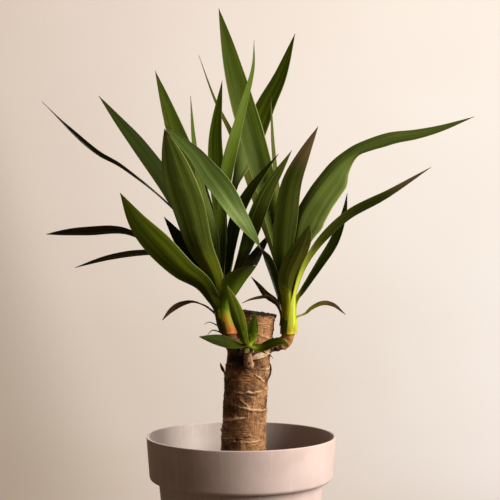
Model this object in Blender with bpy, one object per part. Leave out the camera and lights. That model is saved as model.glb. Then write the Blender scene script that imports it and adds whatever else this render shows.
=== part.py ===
"""Potted yucca: a sawn cane with three leafy shoots, standing in a round plastic planter.

The object stands on z = 0, with the planter's axis on the world Z axis, and its front faces -Y.
Route points are written in millimetres and turned into metres by MM.
"""
import math
from collections import namedtuple

import bmesh
import bpy
from mathutils import Matrix, Vector

MM = 0.001

# Clearance between pieces that touch
GAP = 0.3 * MM

# Planter
POT_SIDES = 48
POT_HEIGHT = 200 * MM
RIM_RADIUS = 110 * MM
BAND_HEIGHT = 50 * MM
BAND_FOOT_RADIUS = 106.5 * MM
BAND_CORNER = 5 * MM
BODY_TOP_RADIUS = 96 * MM
BODY_FOOT_RADIUS = 80 * MM
FOOT_CORNER = 5 * MM
CORNER_STEPS = 3
WALL = 2.8 * MM
LIP_ROUND = 1.2 * MM
LIP_STEPS = 2

# Soil
SOIL_LEVEL = 157 * MM
SOIL_MOUND = 4 * MM
SOIL_ROWS = 4

# Cane: its axis leans and bends a little to the right (places in millimetres)
CANE_AXIS = ((-2, 0, 55), (2.6, 0, 185), (5, 0, 251), (8, 0, 287), (14.8, 0, 343.5))
CANE_RADIUS = 25.4 * MM
CANE_RIM_FLARE = 1.2 * MM
CANE_RIM_HEIGHT = 8 * MM
CANE_SIDES = 24
CANE_BURIED_ROWS = 3
CANE_ROWS_ABOVE = 34
CANE_OVAL = 0.7 * MM
CANE_OVAL_TURN = 0.7

# Rings of the cane's bark, where old leaves grew: they stand out a little and wander up and down
SCAR_PITCH = 15 * MM
SCAR_HEIGHT = 1.1 * MM
SCAR_WIDTH = 2.4 * MM
SCAR_LEAN = 2.6 * MM
SCAR_LEAN_TWIST = 47
SCAR_WAVE = 1.5 * MM
SCAR_WAVE_TWIST = 31

# Woody stubs on the cane: name, axis and radii in millimetres
STUB_SIDES = 12
STUB_ROWS = 7
STUBS = (
    ("left_stub",
     ((12, -8, 296), (-1, -18, 301), (-11, -26, 309), (-14, -28, 319.7)),
     (8, 9, 10.4, 9.8)),
    ("right_stub",
     ((14, -3, 304), (30, -5, 305.5), (43, -7, 306.5), (51, -8, 309.5), (54.5, -8, 317.7)),
     (9, 9.4, 9, 8.8, 8.6)),
    ("front_stub", ((10, -16, 284), (9, -27, 286), (8, -33, 291), (8, -34, 298.7)), (5.5, 6, 5.4, 4.6)),
)

# Leaf blades
BLADE_MIDDLE = 1.5 * MM
BLADE_MARGIN = 0.8 * MM
TIP_WIDTH = 1.0 * MM
NECK_SHARE = 0.42
TAPER_POWER = 1.7
FOLD_AT_ROOT = 0.75
FOLD_AT_TIP = 0.22
BLADE_ROW = 22 * MM
LEAST_ROWS = 7
MOST_ROWS = 17

# Roots of the leaves, as shares of the stem's radius
ROOT_OFFSET = 0.2
SHEATH_RISE = 1.4
SHEATH_OFFSET = 0.6

# Meshes
CURVE_STEPS = 16
STEM_SIDES = 14
STEM_ROWS = 8
WELD = 0.001 * MM
SHARP_ANGLE = math.radians(40)
FRONT = Vector((0, -1, 0))

# Leafy stems: places on the axis in millimetres, and the radius at each
Stem = namedtuple("Stem", "name axis radii")
LEFT_STEM = Stem(
    "left_rosette",
    ((-14, -28, 320), (-17, -28, 330), (-21, -28, 346), (-24, -27, 362), (-26, -26, 378)),
    (9.8, 11, 10.6, 8.0, 3.0),
)
RIGHT_STEM = Stem(
    "right_rosette",
    ((54.5, -8, 318), (55, -8, 330), (55.5, -8, 346), (56, -8, 362), (56.5, -8, 380)),
    (8.6, 8.8, 8.8, 7.4, 3.0),
)
FRONT_STEM = Stem(
    "front_shoot",
    ((8, -34, 299), (8, -34.5, 303), (8, -35, 308), (8, -35, 313)),
    (4.6, 4.6, 3.6, 1.6),
)

# Leaves: the height where the leaf leaves the stem's axis, the route of its blade, its width (all in
# millimetres), the roll of the blade about its route (degrees, evenly spaced from root to tip), and
# the share of its length where it is widest
Leaf = namedtuple("Leaf", "name height route width roll widest", defaults=(0.54,))

LEFT_LEAVES = (
    Leaf("broad_front_left", 327,
         ((-40, -46, 375), (-63, -60, 396), (-87, -74, 421), (-110, -88, 446), (-129, -100, 476)),
         31, (20, 50, 60, 60)),
    Leaf("low_left", 334,
         ((-63, -20, 387), (-93, -14, 415), (-135, -6, 438), (-182, 4, 437), (-229, 12, 434)),
         22, (0, 15, 28, 22)),
    Leaf("lowest_left", 329,
         ((-56, -30, 384), (-76, -31, 402), (-103, -32, 412), (-147, -32, 409), (-189, -32, 398)),
         19, (0, 10, 20, 18)),
    Leaf("long_left", 336,
         ((-42, -22, 419), (-87, -18, 470), (-134, -15, 508), (-165, -13, 527), (-198, -11, 556),
          (-229, -10, 587)),
         20, (0, 5, 5, 26, 10)),
    Leaf("upper_left", 340,
         ((-52, -12, 423), (-83, 2, 478), (-119, 14, 536), (-166, 26, 598)),
         28, (-10, -25, -25)),
    Leaf("broad_front", 338,
         ((-30, -42, 385), (-45, -52, 419), (-56, -66, 459), (-70, -84, 502), (-81, -102, 553)),
         34, (0, 20, 25)),
    Leaf("tall_left", 346,
         ((-33, -4, 423), (-54, 20, 488), (-79, 42, 561), (-104, 60, 632)),
         32, (0, -20, -30)),
    Leaf("thin_left", 344,
         ((-31, -26, 437), (-44, -25, 491), (-53, -23, 543), (-59, -20, 592)),
         18, (0, -20, -20)),
    Leaf("dark_back", 350,
         ((-21, -8, 423), (-26, 16, 488), (-29, 37, 551), (-24, 56, 619)),
         20, (0, 0)),
    Leaf("light_middle", 352,
         ((-20, -24, 417), (-22, -20, 460), (-14, -13, 515), (-1, -6, 571), (11, 0, 624), (15, 4, 660)),
         22, (0, 15, 0), 0.5),
    Leaf("tall_back", 350,
         ((-11, 4, 417), (-8, 38, 482), (5, 74, 525), (33, 110, 593), (53, 126, 636), (67, 140, 690)),
         28, (0, 15, 15), 0.6),
    Leaf("dark_right", 346,
         ((-12, -16, 408), (-5, -2, 454), (10, 8, 487), (29, 15, 511), (44, 20, 529)),
         28, (0, 10, 10)),
    Leaf("striped_right", 344,
         ((0, -20, 403), (11, -12, 440), (26, -4, 477), (43, 3, 507), (59, 8, 532)),
         26, (10, 35, 30)),
    Leaf("dark_left", 336,
         ((-41, -16, 378), (-59, -4, 403), (-78, 8, 431), (-92, 16, 455)),
         28, (0, -30, -35)),
    Leaf("blunt_front", 332,
         ((-12, -42, 365), (-1, -58, 385), (10, -80, 396), (14, -96, 393)),
         30, (0, -20, -30), 0.6),
    Leaf("inner_tip", 344,
         ((-19, -37, 374), (-23, -41, 393)),
         12, (0, 0)),
    Leaf("low_right_back", 340,
         ((6, 2, 389), (24, 32, 417), (49, 60, 451)),
         20, (0, 0)),
)

RIGHT_LEAVES = (
    Leaf("crossing_front", 332,
         ((46, -16, 380), (33, -30, 408), (16, -46, 430), (-3, -62, 464), (-33, -80, 499),
          (-58, -94, 526), (-81, -106, 551)),
         30, (-35, -35, -32, -22, 25, 50, 60, 60, 60), 0.62),
    Leaf("tallest", 352,
         ((43, 14, 417), (32, 30, 476), (16, 50, 550), (-2, 66, 615), (-28, 88, 713)),
         32, (0, -12, -12)),
    Leaf("thin_upright", 350,
         ((47, 14, 429), (43, 26, 488), (38, 36, 542), (34, 42, 602)),
         13, (30, 60, 60)),
    Leaf("grey_back", 348,
         ((36, 34, 429), (15, 92, 501), (-7, 118, 560), (-32, 134, 608), (-54, 150, 667)),
         22, (-15, -10, 10, 30), 0.45),
    Leaf("upright_front", 342,
         ((49, -24, 403), (51, -38, 451), (56, -48, 490), (68, -56, 521), (85, -62, 552)),
         28, (0, -10, -10), 0.48),
    Leaf("long_right", 340,
         ((66, 8, 412), (82, 16, 454), (103, 24, 490), (124, 30, 515), (145, 34, 537),
          (175, 36, 547), (217, 35, 555), (246, 33, 562), (277, 30, 576)),
         35, (20, 40, 60, 75, 80, 80, 80, 76, 70, 36, -12, -26, -28, -28, -28, -26, -25), 0.46),
    Leaf("lower_right", 334,
         ((64, -14, 373), (74, -20, 399), (95, -24, 427), (124, -26, 455), (168, -25, 479),
          (218, -20, 512)),
         23, (0, -20, -27, -27)),
    Leaf("dark_right", 336,
         ((74, 10, 371), (89, 20, 396), (107, 32, 424), (121, 42, 458), (128, 50, 482)),
         20, (0, 10)),
    Leaf("blunt_front", 338,
         ((52, -28, 383), (60, -44, 409), (68, -62, 427), (74, -84, 443)),
         26, (0, -10, -20), 0.6),
    Leaf("thin_left", 326,
         ((39, 1, 354), (24, -3, 369), (11, -8, 386)),
         10, (0, 40, 40)),
    Leaf("withered_right", 322,
         ((72, -2, 338), (82, -2, 349), (95, -3, 355), (108, -4, 351), (120, -5, 342)),
         9, (0, 25, 35)),
)

FRONT_LEAVES = (
    Leaf("up_left", 300,
         ((5, -46, 319), (0, -55, 342), (-6, -62, 360), (-16, -68, 378)),
         19, (0, 15, 15)),
    Leaf("flat_left", 300,
         ((-6, -46, 308), (-25, -58, 314), (-46, -68, 321)),
         17, (-20, -50, -55)),
    Leaf("right", 300,
         ((24, -42, 309), (39, -50, 314), (53, -57, 311)),
         12, (20, 50, 50)),
    Leaf("upright", 301,
         ((12, -38, 324), (14, -41, 345)),
         11, (0, -20)),
    Leaf("small_right", 299.5,
         ((21, -42, 302), (29, -47, 299)),
         5, (0, 20)),
)

# Dried leaves: routes and widths in millimetres, rolls in degrees, and the share of the length
# where each is widest
DRIED_LEFT_ROUTE = (
    (-26.4, -27, 321), (-31.9, -25, 335), (-36.4, -22, 346), (-44, -21, 354), (-55, -21, 357),
    (-68, -21, 355), (-79, -21, 348), (-89, -21, 337),
)
DRIED_SCALE_ROUTES = (
    ((-30, -26, 328), (-35, -27, 333), (-42, -28, 331)),
    ((-28, -27, 322), (-32, -28, 324), (-38, -28, 319)),
)
DRIED_RIGHT_ROUTE = (
    (44.6, -11, 324), (44.2, -11, 338), (38, -13, 349), (30, -15, 358), (19, -16, 361),
    (9, -17, 359), (0, -18, 355),
)
DRIED_WIDTH = 8
DRIED_LEFT_ROLL = (0, 0, 30, 30)
DRIED_LEFT_WIDEST = 0.6
DRIED_RIGHT_WIDEST = 0.5
DRIED_SCALE_WIDTH = 5
DRIED_SCALE_WIDEST = 0.4
NO_ROLL = (0, 0)


def clear_scene():
    """Removes every object that the start-up file brings."""
    for obj in list(bpy.data.objects):
        bpy.data.objects.remove(obj, do_unlink=True)


def material(name, color, roughness):
    """A plain Principled material."""
    made = bpy.data.materials.new(name)
    made.use_nodes = True
    shader = made.node_tree.nodes["Principled BSDF"]
    shader.inputs["Base Color"].default_value = (*color, 1.0)
    shader.inputs["Roughness"].default_value = roughness
    shader.inputs["Metallic"].default_value = 0.0
    return made


def object_from(name, verts, faces):
    """A closed mesh object with its faces turned outward."""
    mesh = bpy.data.meshes.new(name)
    mesh.from_pydata(verts, [], faces)
    shape = bmesh.new()
    shape.from_mesh(mesh)
    bmesh.ops.recalc_face_normals(shape, faces=shape.faces)
    shape.to_mesh(mesh)
    shape.free()
    obj = bpy.data.objects.new(name, mesh)
    bpy.context.scene.collection.objects.link(obj)
    return obj


def in_metres(places):
    """Vectors in metres from places in millimetres."""
    return [Vector(place) * MM for place in places]


def smooth_route(points, rows):
    """Evenly spaced places along a smooth curve that passes through the points."""
    padded = [2 * points[0] - points[1], *points, 2 * points[-1] - points[-2]]
    fine = []
    for before, start, end, after in zip(padded, padded[1:], padded[2:], padded[3:]):
        for step in range(CURVE_STEPS):
            t = step / CURVE_STEPS
            fine.append(0.5 * (
                2 * start
                + (end - before) * t
                + (2 * before - 5 * start + 4 * end - after) * t ** 2
                + (3 * start - before - 3 * end + after) * t ** 3
            ))
    fine.append(points[-1].copy())
    lengths = [0.0]
    for a, b in zip(fine, fine[1:]):
        lengths.append(lengths[-1] + (b - a).length)
    route = []
    span = 0
    for row in range(rows + 1):
        wanted = lengths[-1] * row / rows
        while span < len(fine) - 2 and lengths[span + 1] < wanted:
            span += 1
        share = (wanted - lengths[span]) / (lengths[span + 1] - lengths[span])
        route.append(fine[span].lerp(fine[span + 1], min(max(share, 0.0), 1.0)))
    return route


def directions(route):
    """The direction of travel at each place of a route."""
    last = len(route) - 1
    return [(route[min(i + 1, last)] - route[max(i - 1, 0)]).normalized() for i in range(last + 1)]


def between(values, share):
    """The value at a share of the way along evenly spaced values."""
    place = share * (len(values) - 1)
    index = min(int(place), len(values) - 2)
    return values[index] + (values[index + 1] - values[index]) * (place - index)


def skin_faces(sides, rows):
    """Triangles of a closed skin of rings, each with the same number of points."""
    faces = []
    for row in range(rows):
        low = row * sides
        high = low + sides
        for k in range(sides):
            after = (k + 1) % sides
            faces.append((low + k, low + after, high + after))
            faces.append((low + k, high + after, high + k))
    top = rows * sides
    faces.append(tuple(range(sides - 1, -1, -1)))
    faces.append(tuple(range(top, top + sides)))
    return faces


def tube(name, points, radii, sides, rows, level_row):
    """A closed round bar along a route in metres; the row named level ends flat and horizontal."""
    route = smooth_route(points, rows)
    ways = directions(route)
    ways[level_row] = Vector((0, 0, 1))
    side = ways[0].orthogonal().normalized()
    verts = []
    for row, (place, way) in enumerate(zip(route, ways)):
        side = (side - way * side.dot(way)).normalized()
        other = way.cross(side)
        radius = between(radii, row / rows) * MM
        for k in range(sides):
            angle = 2 * math.pi * k / sides
            verts.append(place + radius * (side * math.cos(angle) + other * math.sin(angle)))
    return object_from(name, verts, skin_faces(sides, rows))


def stem_place(stem, height):
    """The place on a stem's axis at a height, both in millimetres."""
    for low, high in zip(stem.axis, stem.axis[1:]):
        if height <= high[2]:
            share = (height - low[2]) / (high[2] - low[2])
            return Vector(low).lerp(Vector(high), share)
    return Vector(stem.axis[-1])


def leaf_points(stem, leaf):
    """The whole route of a leaf in metres: its root in the stem, its sheath along it, its blade."""
    root = stem_place(stem, leaf.height)
    heading = Vector(leaf.route[0]) - root
    heading.z = 0
    heading.normalize()
    reach = max(stem.radii)
    sheath = stem_place(stem, leaf.height + SHEATH_RISE * reach)
    points = [root + heading * ROOT_OFFSET * reach, sheath + heading * SHEATH_OFFSET * reach]
    return in_metres(points + [Vector(place) for place in leaf.route])


def blade_width(share, widest):
    """The width of a sword-shaped blade, as a share of its widest, from root to tip."""
    if share < widest:
        rise = share / widest
        return NECK_SHARE + (1 - NECK_SHARE) * rise * rise * (3 - 2 * rise)
    return 1 - ((share - widest) / (1 - widest)) ** TAPER_POWER


def blade_faces(rows):
    """Triangles of a blade with six points a row, split alike on its two faces."""
    faces = []
    for row in range(rows):
        low = 6 * row
        high = low + 6
        for k in (0, 1, 2, 5):
            after = (k + 1) % 6
            faces.append((low + k, low + after, high + after))
            faces.append((low + k, high + after, high + k))
        for k in (3, 4):
            faces.append((low + k, low + k + 1, high + k))
            faces.append((low + k + 1, high + k + 1, high + k))
    for end in (0, 6 * rows):
        faces.append((end, end + 1, end + 4, end + 5))
        faces.append((end + 1, end + 2, end + 3, end + 4))
    return faces


def blade(name, points, width, roll, widest):
    """A closed blade: a shallow channel in section, with a middle rib and two thin margins."""
    length = sum((b - a).length for a, b in zip(points, points[1:]))
    rows = max(LEAST_ROWS, min(MOST_ROWS, round(length / BLADE_ROW)))
    route = smooth_route(points, rows)
    outward = points[-1] - points[0]
    outward.z = 0
    across = outward.normalized().cross(Vector((0, 0, 1)))
    verts = []
    for row, (place, way) in enumerate(zip(route, directions(route))):
        share = row / rows
        side = (across - way * across.dot(way)).normalized()
        side.rotate(Matrix.Rotation(math.radians(between(roll, share)), 3, way))
        face = side.cross(way).normalized()
        half = max(width * MM * blade_width(share, widest), TIP_WIDTH) / 2
        lift = half * between((FOLD_AT_ROOT, FOLD_AT_TIP), share)
        middle = face * between((BLADE_MIDDLE, BLADE_MARGIN), share) / 2
        margin = face * BLADE_MARGIN / 2
        left = place - side * half + face * lift
        right = place + side * half + face * lift
        verts += [left + margin, place + middle, right + margin]
        verts += [right - margin, place - middle, left - margin]
    return object_from(name, verts, blade_faces(rows))


def join(main, pieces):
    """Unites the pieces with the main object in one body of triangles, and removes the pieces."""
    group = bpy.data.collections.new(main.name + "_pieces")
    bpy.context.scene.collection.children.link(group)
    for piece in pieces:
        bpy.context.scene.collection.objects.unlink(piece)
        group.objects.link(piece)
    union = main.modifiers.new("union", "BOOLEAN")
    union.operation = "UNION"
    union.operand_type = "COLLECTION"
    union.collection = group
    union.solver = "EXACT"
    bake(main)
    for piece in pieces:
        bpy.data.objects.remove(piece, do_unlink=True)
    bpy.data.collections.remove(group)
    tidy_mesh(main.data)


def bake(obj):
    """Applies the modifiers of an object."""
    graph = bpy.context.evaluated_depsgraph_get()
    baked = bpy.data.meshes.new_from_object(obj.evaluated_get(graph))
    obj.modifiers.clear()
    obj.data = baked


def tidy_mesh(mesh):
    """Welds a joined mesh, drops loose scraps and splits it into triangles."""
    shape = bmesh.new()
    shape.from_mesh(mesh)
    bmesh.ops.remove_doubles(shape, verts=shape.verts, dist=WELD)
    bmesh.ops.dissolve_degenerate(shape, edges=shape.edges, dist=WELD / 2)
    keep = largest_body(shape)
    scraps = [vert for vert in shape.verts if vert not in keep]
    bmesh.ops.delete(shape, geom=scraps, context="VERTS")
    bmesh.ops.triangulate(shape, faces=shape.faces)
    shape.to_mesh(mesh)
    shape.free()


def largest_body(shape):
    """The vertices of the connected body that has the most of them."""
    left = set(shape.verts)
    best = set()
    while left:
        body = set()
        queue = [left.pop()]
        while queue:
            vert = queue.pop()
            body.add(vert)
            for edge in vert.link_edges:
                other = edge.other_vert(vert)
                if other in left:
                    left.discard(other)
                    queue.append(other)
        if len(body) > len(best):
            best = body
    return best


def leafy_stem(stem, leaves, made_of):
    """A short leafy stem with its leaves, as one body."""
    main = tube(stem.name, in_metres(stem.axis), stem.radii, STEM_SIDES, STEM_ROWS, 0)
    blades = [
        blade(leaf.name, leaf_points(stem, leaf), leaf.width, leaf.roll, leaf.widest)
        for leaf in leaves
    ]
    join(main, blades)
    finish(main, made_of)


def finish(obj, made_of):
    """Gives an object its material and smooth shading with its edges kept."""
    obj.data.materials.clear()
    obj.data.materials.append(made_of)
    obj.data.shade_smooth()
    obj.data.set_sharp_from_angle(angle=SHARP_ANGLE)


def revolve(name, profile, sides):
    """A turned solid from an outline of (radius, height) pairs that starts and ends on the axis."""
    verts = []
    rings = []
    for radius, height in profile:
        count = sides if radius > 0 else 1
        rings.append(range(len(verts), len(verts) + count))
        for k in range(count):
            angle = 2 * math.pi * k / sides
            verts.append((radius * math.cos(angle), radius * math.sin(angle), height))
    faces = []
    for low, high in zip(rings, rings[1:]):
        for k in range(sides):
            after = (k + 1) % sides
            corners = [low[k % len(low)], low[after % len(low)]]
            corners += [high[after % len(high)], high[k % len(high)]]
            faces.append(tuple(dict.fromkeys(corners)))
    return object_from(name, verts, faces)


def arc(center, radius, start, end, steps):
    """Places along an arc in the (radius, height) plane, with angles in degrees."""
    places = []
    for step in range(steps + 1):
        angle = math.radians(start + (end - start) * step / steps)
        places.append((center[0] + radius * math.cos(angle), center[1] + radius * math.sin(angle)))
    return places


def pot_skin(inset):
    """The planter's outline from its foot to its band's lower corner, moved inward by an inset."""
    foot = BODY_FOOT_RADIUS - inset
    foot_corner = FOOT_CORNER - inset
    places = arc((foot - foot_corner, inset + foot_corner), foot_corner, -90, -5, CORNER_STEPS)
    step = POT_HEIGHT - BAND_HEIGHT + inset
    places.append((BODY_TOP_RADIUS - inset, step))
    edge = BAND_FOOT_RADIUS - inset
    corner = BAND_CORNER - inset
    places += arc((edge - corner, step + corner), corner, -90, 0, CORNER_STEPS)
    return places


def build_pot(made_of):
    """The planter: one moulded wall of even thickness, open at the top and closed at the foot."""
    outer_lip = arc((RIM_RADIUS - LIP_ROUND, POT_HEIGHT - LIP_ROUND), LIP_ROUND, 0, 90, LIP_STEPS)
    inner_edge = RIM_RADIUS - WALL
    inner_lip = arc((inner_edge + LIP_ROUND, POT_HEIGHT - LIP_ROUND), LIP_ROUND, 90, 180, LIP_STEPS)
    inner = reversed(pot_skin(WALL))
    profile = [(0, 0), *pot_skin(0), *outer_lip, *inner_lip, *inner, (0, WALL)]
    finish(revolve("pot", profile, POT_SIDES), made_of)


def build_soil(made_of):
    """The soil: it fills the planter and leaves a plain hole for the cane."""
    inset = WALL + GAP
    band_foot = POT_HEIGHT - BAND_HEIGHT + BAND_CORNER
    wall_share = (SOIL_LEVEL - band_foot) / (POT_HEIGHT - LIP_ROUND - band_foot)
    edge = between((BAND_FOOT_RADIUS, RIM_RADIUS), wall_share) - inset
    profile = [(0, inset), *pot_skin(inset), (edge, SOIL_LEVEL)]
    for row in range(1, SOIL_ROWS + 1):
        share = row / SOIL_ROWS
        height = SOIL_LEVEL + SOIL_MOUND * math.sin(share * math.pi / 2)
        profile.append((edge * (1 - share), height))
    soil = revolve("soil", profile, POT_SIDES)
    hole = cane_bar("cane_hole", GAP)
    cut = soil.modifiers.new("hole", "BOOLEAN")
    cut.operation = "DIFFERENCE"
    cut.object = hole
    cut.solver = "EXACT"
    bake(soil)
    bpy.data.objects.remove(hole, do_unlink=True)
    tidy_mesh(soil.data)
    finish(soil, made_of)


def scar_relief(height, angle):
    """How far the bark stands out in the rings that fallen leaves left behind."""
    lean = SCAR_LEAN * math.sin(angle + height * SCAR_LEAN_TWIST)
    wave = SCAR_WAVE * math.sin(2 * angle - height * SCAR_WAVE_TWIST)
    place = (height + lean + wave) / SCAR_PITCH
    distance = abs(place - round(place)) * SCAR_PITCH
    return SCAR_HEIGHT * math.exp(-(distance / SCAR_WIDTH) ** 2)


def cane_bar(name, clearance):
    """The cane's trunk, or with a clearance the plain hole that it stands in."""
    rows = CANE_BURIED_ROWS + CANE_ROWS_ABOVE
    axis = smooth_route(in_metres(CANE_AXIS), 4 * rows)
    buried = [place for place in axis if place.z < SOIL_LEVEL - SOIL_MOUND]
    above = axis[len(buried):]
    route = [buried[round(i * (len(buried) - 1) / CANE_BURIED_ROWS)] for i in range(CANE_BURIED_ROWS)]
    route += [above[round(i * (len(above) - 1) / CANE_ROWS_ABOVE)] for i in range(CANE_ROWS_ABOVE + 1)]
    verts = []
    for row, (place, way) in enumerate(zip(route, directions(route))):
        side = (FRONT - way * FRONT.dot(way)).normalized()
        other = way.cross(side)
        start = -clearance if row == 0 else 0
        flare = CANE_RIM_FLARE * max(0, 1 - (route[-1] - place).length / CANE_RIM_HEIGHT)
        for k in range(CANE_SIDES):
            angle = 2 * math.pi * k / CANE_SIDES
            oval = CANE_OVAL * math.sin(2 * angle + CANE_OVAL_TURN)
            radius = CANE_RADIUS + clearance + flare + oval
            if row > CANE_BURIED_ROWS:
                radius += scar_relief(place.z, angle)
            spread = side * math.cos(angle) + other * math.sin(angle)
            verts.append(place + way * start + spread * radius)
    return object_from(name, verts, skin_faces(CANE_SIDES, rows))


def build_cane(made_of):
    """The cane with the three woody stubs that its shoots stand on, as one body."""
    cane = cane_bar("cane", 0)
    stubs = [
        tube(name, in_metres(route), radii, STUB_SIDES, STUB_ROWS, -1)
        for name, route, radii in STUBS
    ]
    join(cane, stubs)
    finish(cane, made_of)


def build_dried(made_of):
    """The dried leaves: they keep a brown of their own and stand just clear of the green stems."""
    left_points = in_metres(DRIED_LEFT_ROUTE)
    left = blade("left_dried_leaves", left_points, DRIED_WIDTH, DRIED_LEFT_ROLL, DRIED_LEFT_WIDEST)
    scales = [
        blade("scale", in_metres(route), DRIED_SCALE_WIDTH, NO_ROLL, DRIED_SCALE_WIDEST)
        for route in DRIED_SCALE_ROUTES
    ]
    join(left, scales)
    finish(left, made_of)
    right_points = in_metres(DRIED_RIGHT_ROUTE)
    right = blade("right_dried_leaf", right_points, DRIED_WIDTH, NO_ROLL, DRIED_RIGHT_WIDEST)
    finish(right, made_of)


def build():
    """Builds the whole plant in its planter."""
    clear_scene()
    build_pot(material("pot_plastic", (0.56, 0.47, 0.43), 0.55))
    build_soil(material("potting_soil", (0.05, 0.033, 0.022), 0.95))
    build_cane(material("cane_bark", (0.24, 0.15, 0.09), 0.85))
    green = material("green_leaf", (0.09, 0.17, 0.03), 0.4)
    leafy_stem(LEFT_STEM, LEFT_LEAVES, green)
    leafy_stem(RIGHT_STEM, RIGHT_LEAVES, green)
    leafy_stem(FRONT_STEM, FRONT_LEAVES, green)
    build_dried(material("dried_leaf", (0.1, 0.055, 0.025), 0.8))


build()
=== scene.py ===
# %% [markdown]
# Potted yucca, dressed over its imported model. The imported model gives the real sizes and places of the
# pieces. This lesson gives them their looks: a fine mesh and a procedural finish for each of them. All
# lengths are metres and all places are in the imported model's frame: the planter stands on z = 0 with
# its axis on Z, and the front of the plant faces -Y.

# %% Load the frame
import math
import random
from collections import namedtuple

import bmesh
import bpy
from mathutils import Matrix, Vector, noise


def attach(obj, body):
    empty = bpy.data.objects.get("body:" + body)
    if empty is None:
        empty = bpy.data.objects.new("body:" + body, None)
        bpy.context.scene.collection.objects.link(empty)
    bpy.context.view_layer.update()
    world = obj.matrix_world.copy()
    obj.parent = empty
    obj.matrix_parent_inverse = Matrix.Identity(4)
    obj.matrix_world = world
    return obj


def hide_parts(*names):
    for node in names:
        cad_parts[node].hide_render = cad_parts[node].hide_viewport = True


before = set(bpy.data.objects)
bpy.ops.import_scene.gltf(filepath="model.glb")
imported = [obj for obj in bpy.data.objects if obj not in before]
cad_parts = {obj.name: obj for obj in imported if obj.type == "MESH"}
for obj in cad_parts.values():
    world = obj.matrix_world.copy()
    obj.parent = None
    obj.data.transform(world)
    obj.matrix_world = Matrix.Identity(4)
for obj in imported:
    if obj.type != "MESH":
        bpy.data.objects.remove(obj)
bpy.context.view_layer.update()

MM = 0.001
print("frame nodes:", ", ".join(sorted(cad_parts)))

# %% [markdown]
# The camera stands level in front of the plant, a little above the sawn top of its cane, so that the
# rim of the planter shows as a narrow ellipse. A long lens from 1.4 m keeps the leaves' proportions.

# %% Camera
CAMERA_PLACE = (0.0102, -1.374, 0.4155)
CAMERA_LENS = 85

camera_data = bpy.data.cameras.new("camera")
camera_data.lens = CAMERA_LENS
camera_data.sensor_width = 36
camera = bpy.data.objects.new("camera", camera_data)
camera.location = CAMERA_PLACE
camera.rotation_euler = (math.radians(90), 0, 0)
bpy.context.scene.collection.objects.link(camera)
bpy.context.scene.camera = camera
print("camera height above the planter's foot:", CAMERA_PLACE[2])

# %% [markdown]
# Every finish below is a node tree. A few small helpers keep those trees readable. They link or set an
# input, add a node, start a Principled material, give it its coat, and turn a colour as a screen shows
# it, from 0 to 255, into the linear colour that a shader takes.

# %% Shader helpers
def tone(red, green, blue):
    """A linear colour from screen values of 0 to 255."""
    def linear(value):
        share = value / 255
        return share / 12.92 if share <= 0.04045 else ((share + 0.055) / 1.055) ** 2.4
    return (linear(red), linear(green), linear(blue), 1.0)


def feed(tree, inlet, value):
    """Links a socket to an inlet, or sets any other value on it."""
    if isinstance(value, bpy.types.NodeSocket):
        tree.links.new(value, inlet)
    else:
        inlet.default_value = value


def add(tree, kind, inputs, **settings):
    """Adds a shader node and feeds its inputs."""
    made = tree.nodes.new("ShaderNode" + kind)
    for name, value in settings.items():
        setattr(made, name, value)
    for name, value in inputs.items():
        feed(tree, made.inputs[name], value)
    return made


def finish_tree(name):
    """A new material with its tree and its Principled shader."""
    made = bpy.data.materials.new(name)
    made.use_nodes = True
    return made, made.node_tree, made.node_tree.nodes["Principled BSDF"]


def coat(tree, shader, color, roughness, gloss=0.5):
    """Gives a shader its colour, its roughness and the strength of its gloss."""
    feed(tree, shader.inputs["Base Color"], color)
    feed(tree, shader.inputs["Roughness"], roughness)
    feed(tree, shader.inputs["Specular IOR Level"], gloss)


# %% [markdown]
# Patterns come from stretched noise: a noise that is squeezed across and drawn out along a direction
# looks like fibres, and an even one looks like blotches or grain. These helpers return sockets, so they
# can be chained. A finish is then a list of layers: each colour covers the ones before it as far as its
# pattern has passed from a low value to a high one.

# %% Pattern helpers
def object_place(tree):
    """The place of a point on its piece, in metres."""
    return add(tree, "TexCoord", {}).outputs["Object"]


def carried(tree, label, outlet="Fac"):
    """A value that the mesh carries at its points."""
    return add(tree, "Attribute", {}, attribute_name=label).outputs[outlet]


def grain(tree, place, stretch, detail=3.0, roughness=0.55):
    """Noise from 0 to 1 over a place that is stretched by three factors."""
    moved = add(tree, "Mapping", {"Vector": place, "Scale": stretch})
    made = add(tree, "TexNoise", {
        "Vector": moved.outputs[0], "Scale": 1.0, "Detail": detail, "Roughness": roughness,
    })
    return made.outputs[0]


def between(tree, value, low, high, start=0.0, end=1.0):
    """A soft step: start where the value is under low, end where it is over high."""
    made = add(tree, "MapRange", {
        "Value": value, "From Min": low, "From Max": high, "To Min": start, "To Max": end,
    }, interpolation_type="SMOOTHSTEP")
    return made.outputs[0]


def mixed(tree, share, first, second):
    """A mix of two colours by a share. Each colour is a socket or three screen values."""
    made = tree.nodes.new("ShaderNodeMix")
    made.data_type = "RGBA"
    feed(tree, made.inputs[0], share)
    for place, color in ((6, first), (7, second)):
        feed(tree, made.inputs[place], tone(*color) if isinstance(color, tuple) else color)
    return made.outputs[2]


def layered(tree, color, layers):
    """A colour with others laid over it. A layer is a value, its low, its high, its share, a colour."""
    for value, low, high, most, over in layers:
        color = mixed(tree, between(tree, value, low, high, 0.0, most), color, over)
    return color


def maths(tree, operation, first, second=0.5):
    """A number worked out from two others."""
    made = add(tree, "Math", {0: first, 1: second}, operation=operation)
    return made.outputs[0]


def relief(tree, shader, height, depth, strength=1.0, under=None):
    """Raises the surface by a height pattern, in metres, for the light only."""
    inputs = {"Height": height, "Distance": depth, "Strength": strength}
    if under is not None:
        inputs["Normal"] = under
    made = add(tree, "Bump", inputs)
    tree.links.new(made.outputs[0], shader.inputs["Normal"])
    return made.outputs[0]


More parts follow.
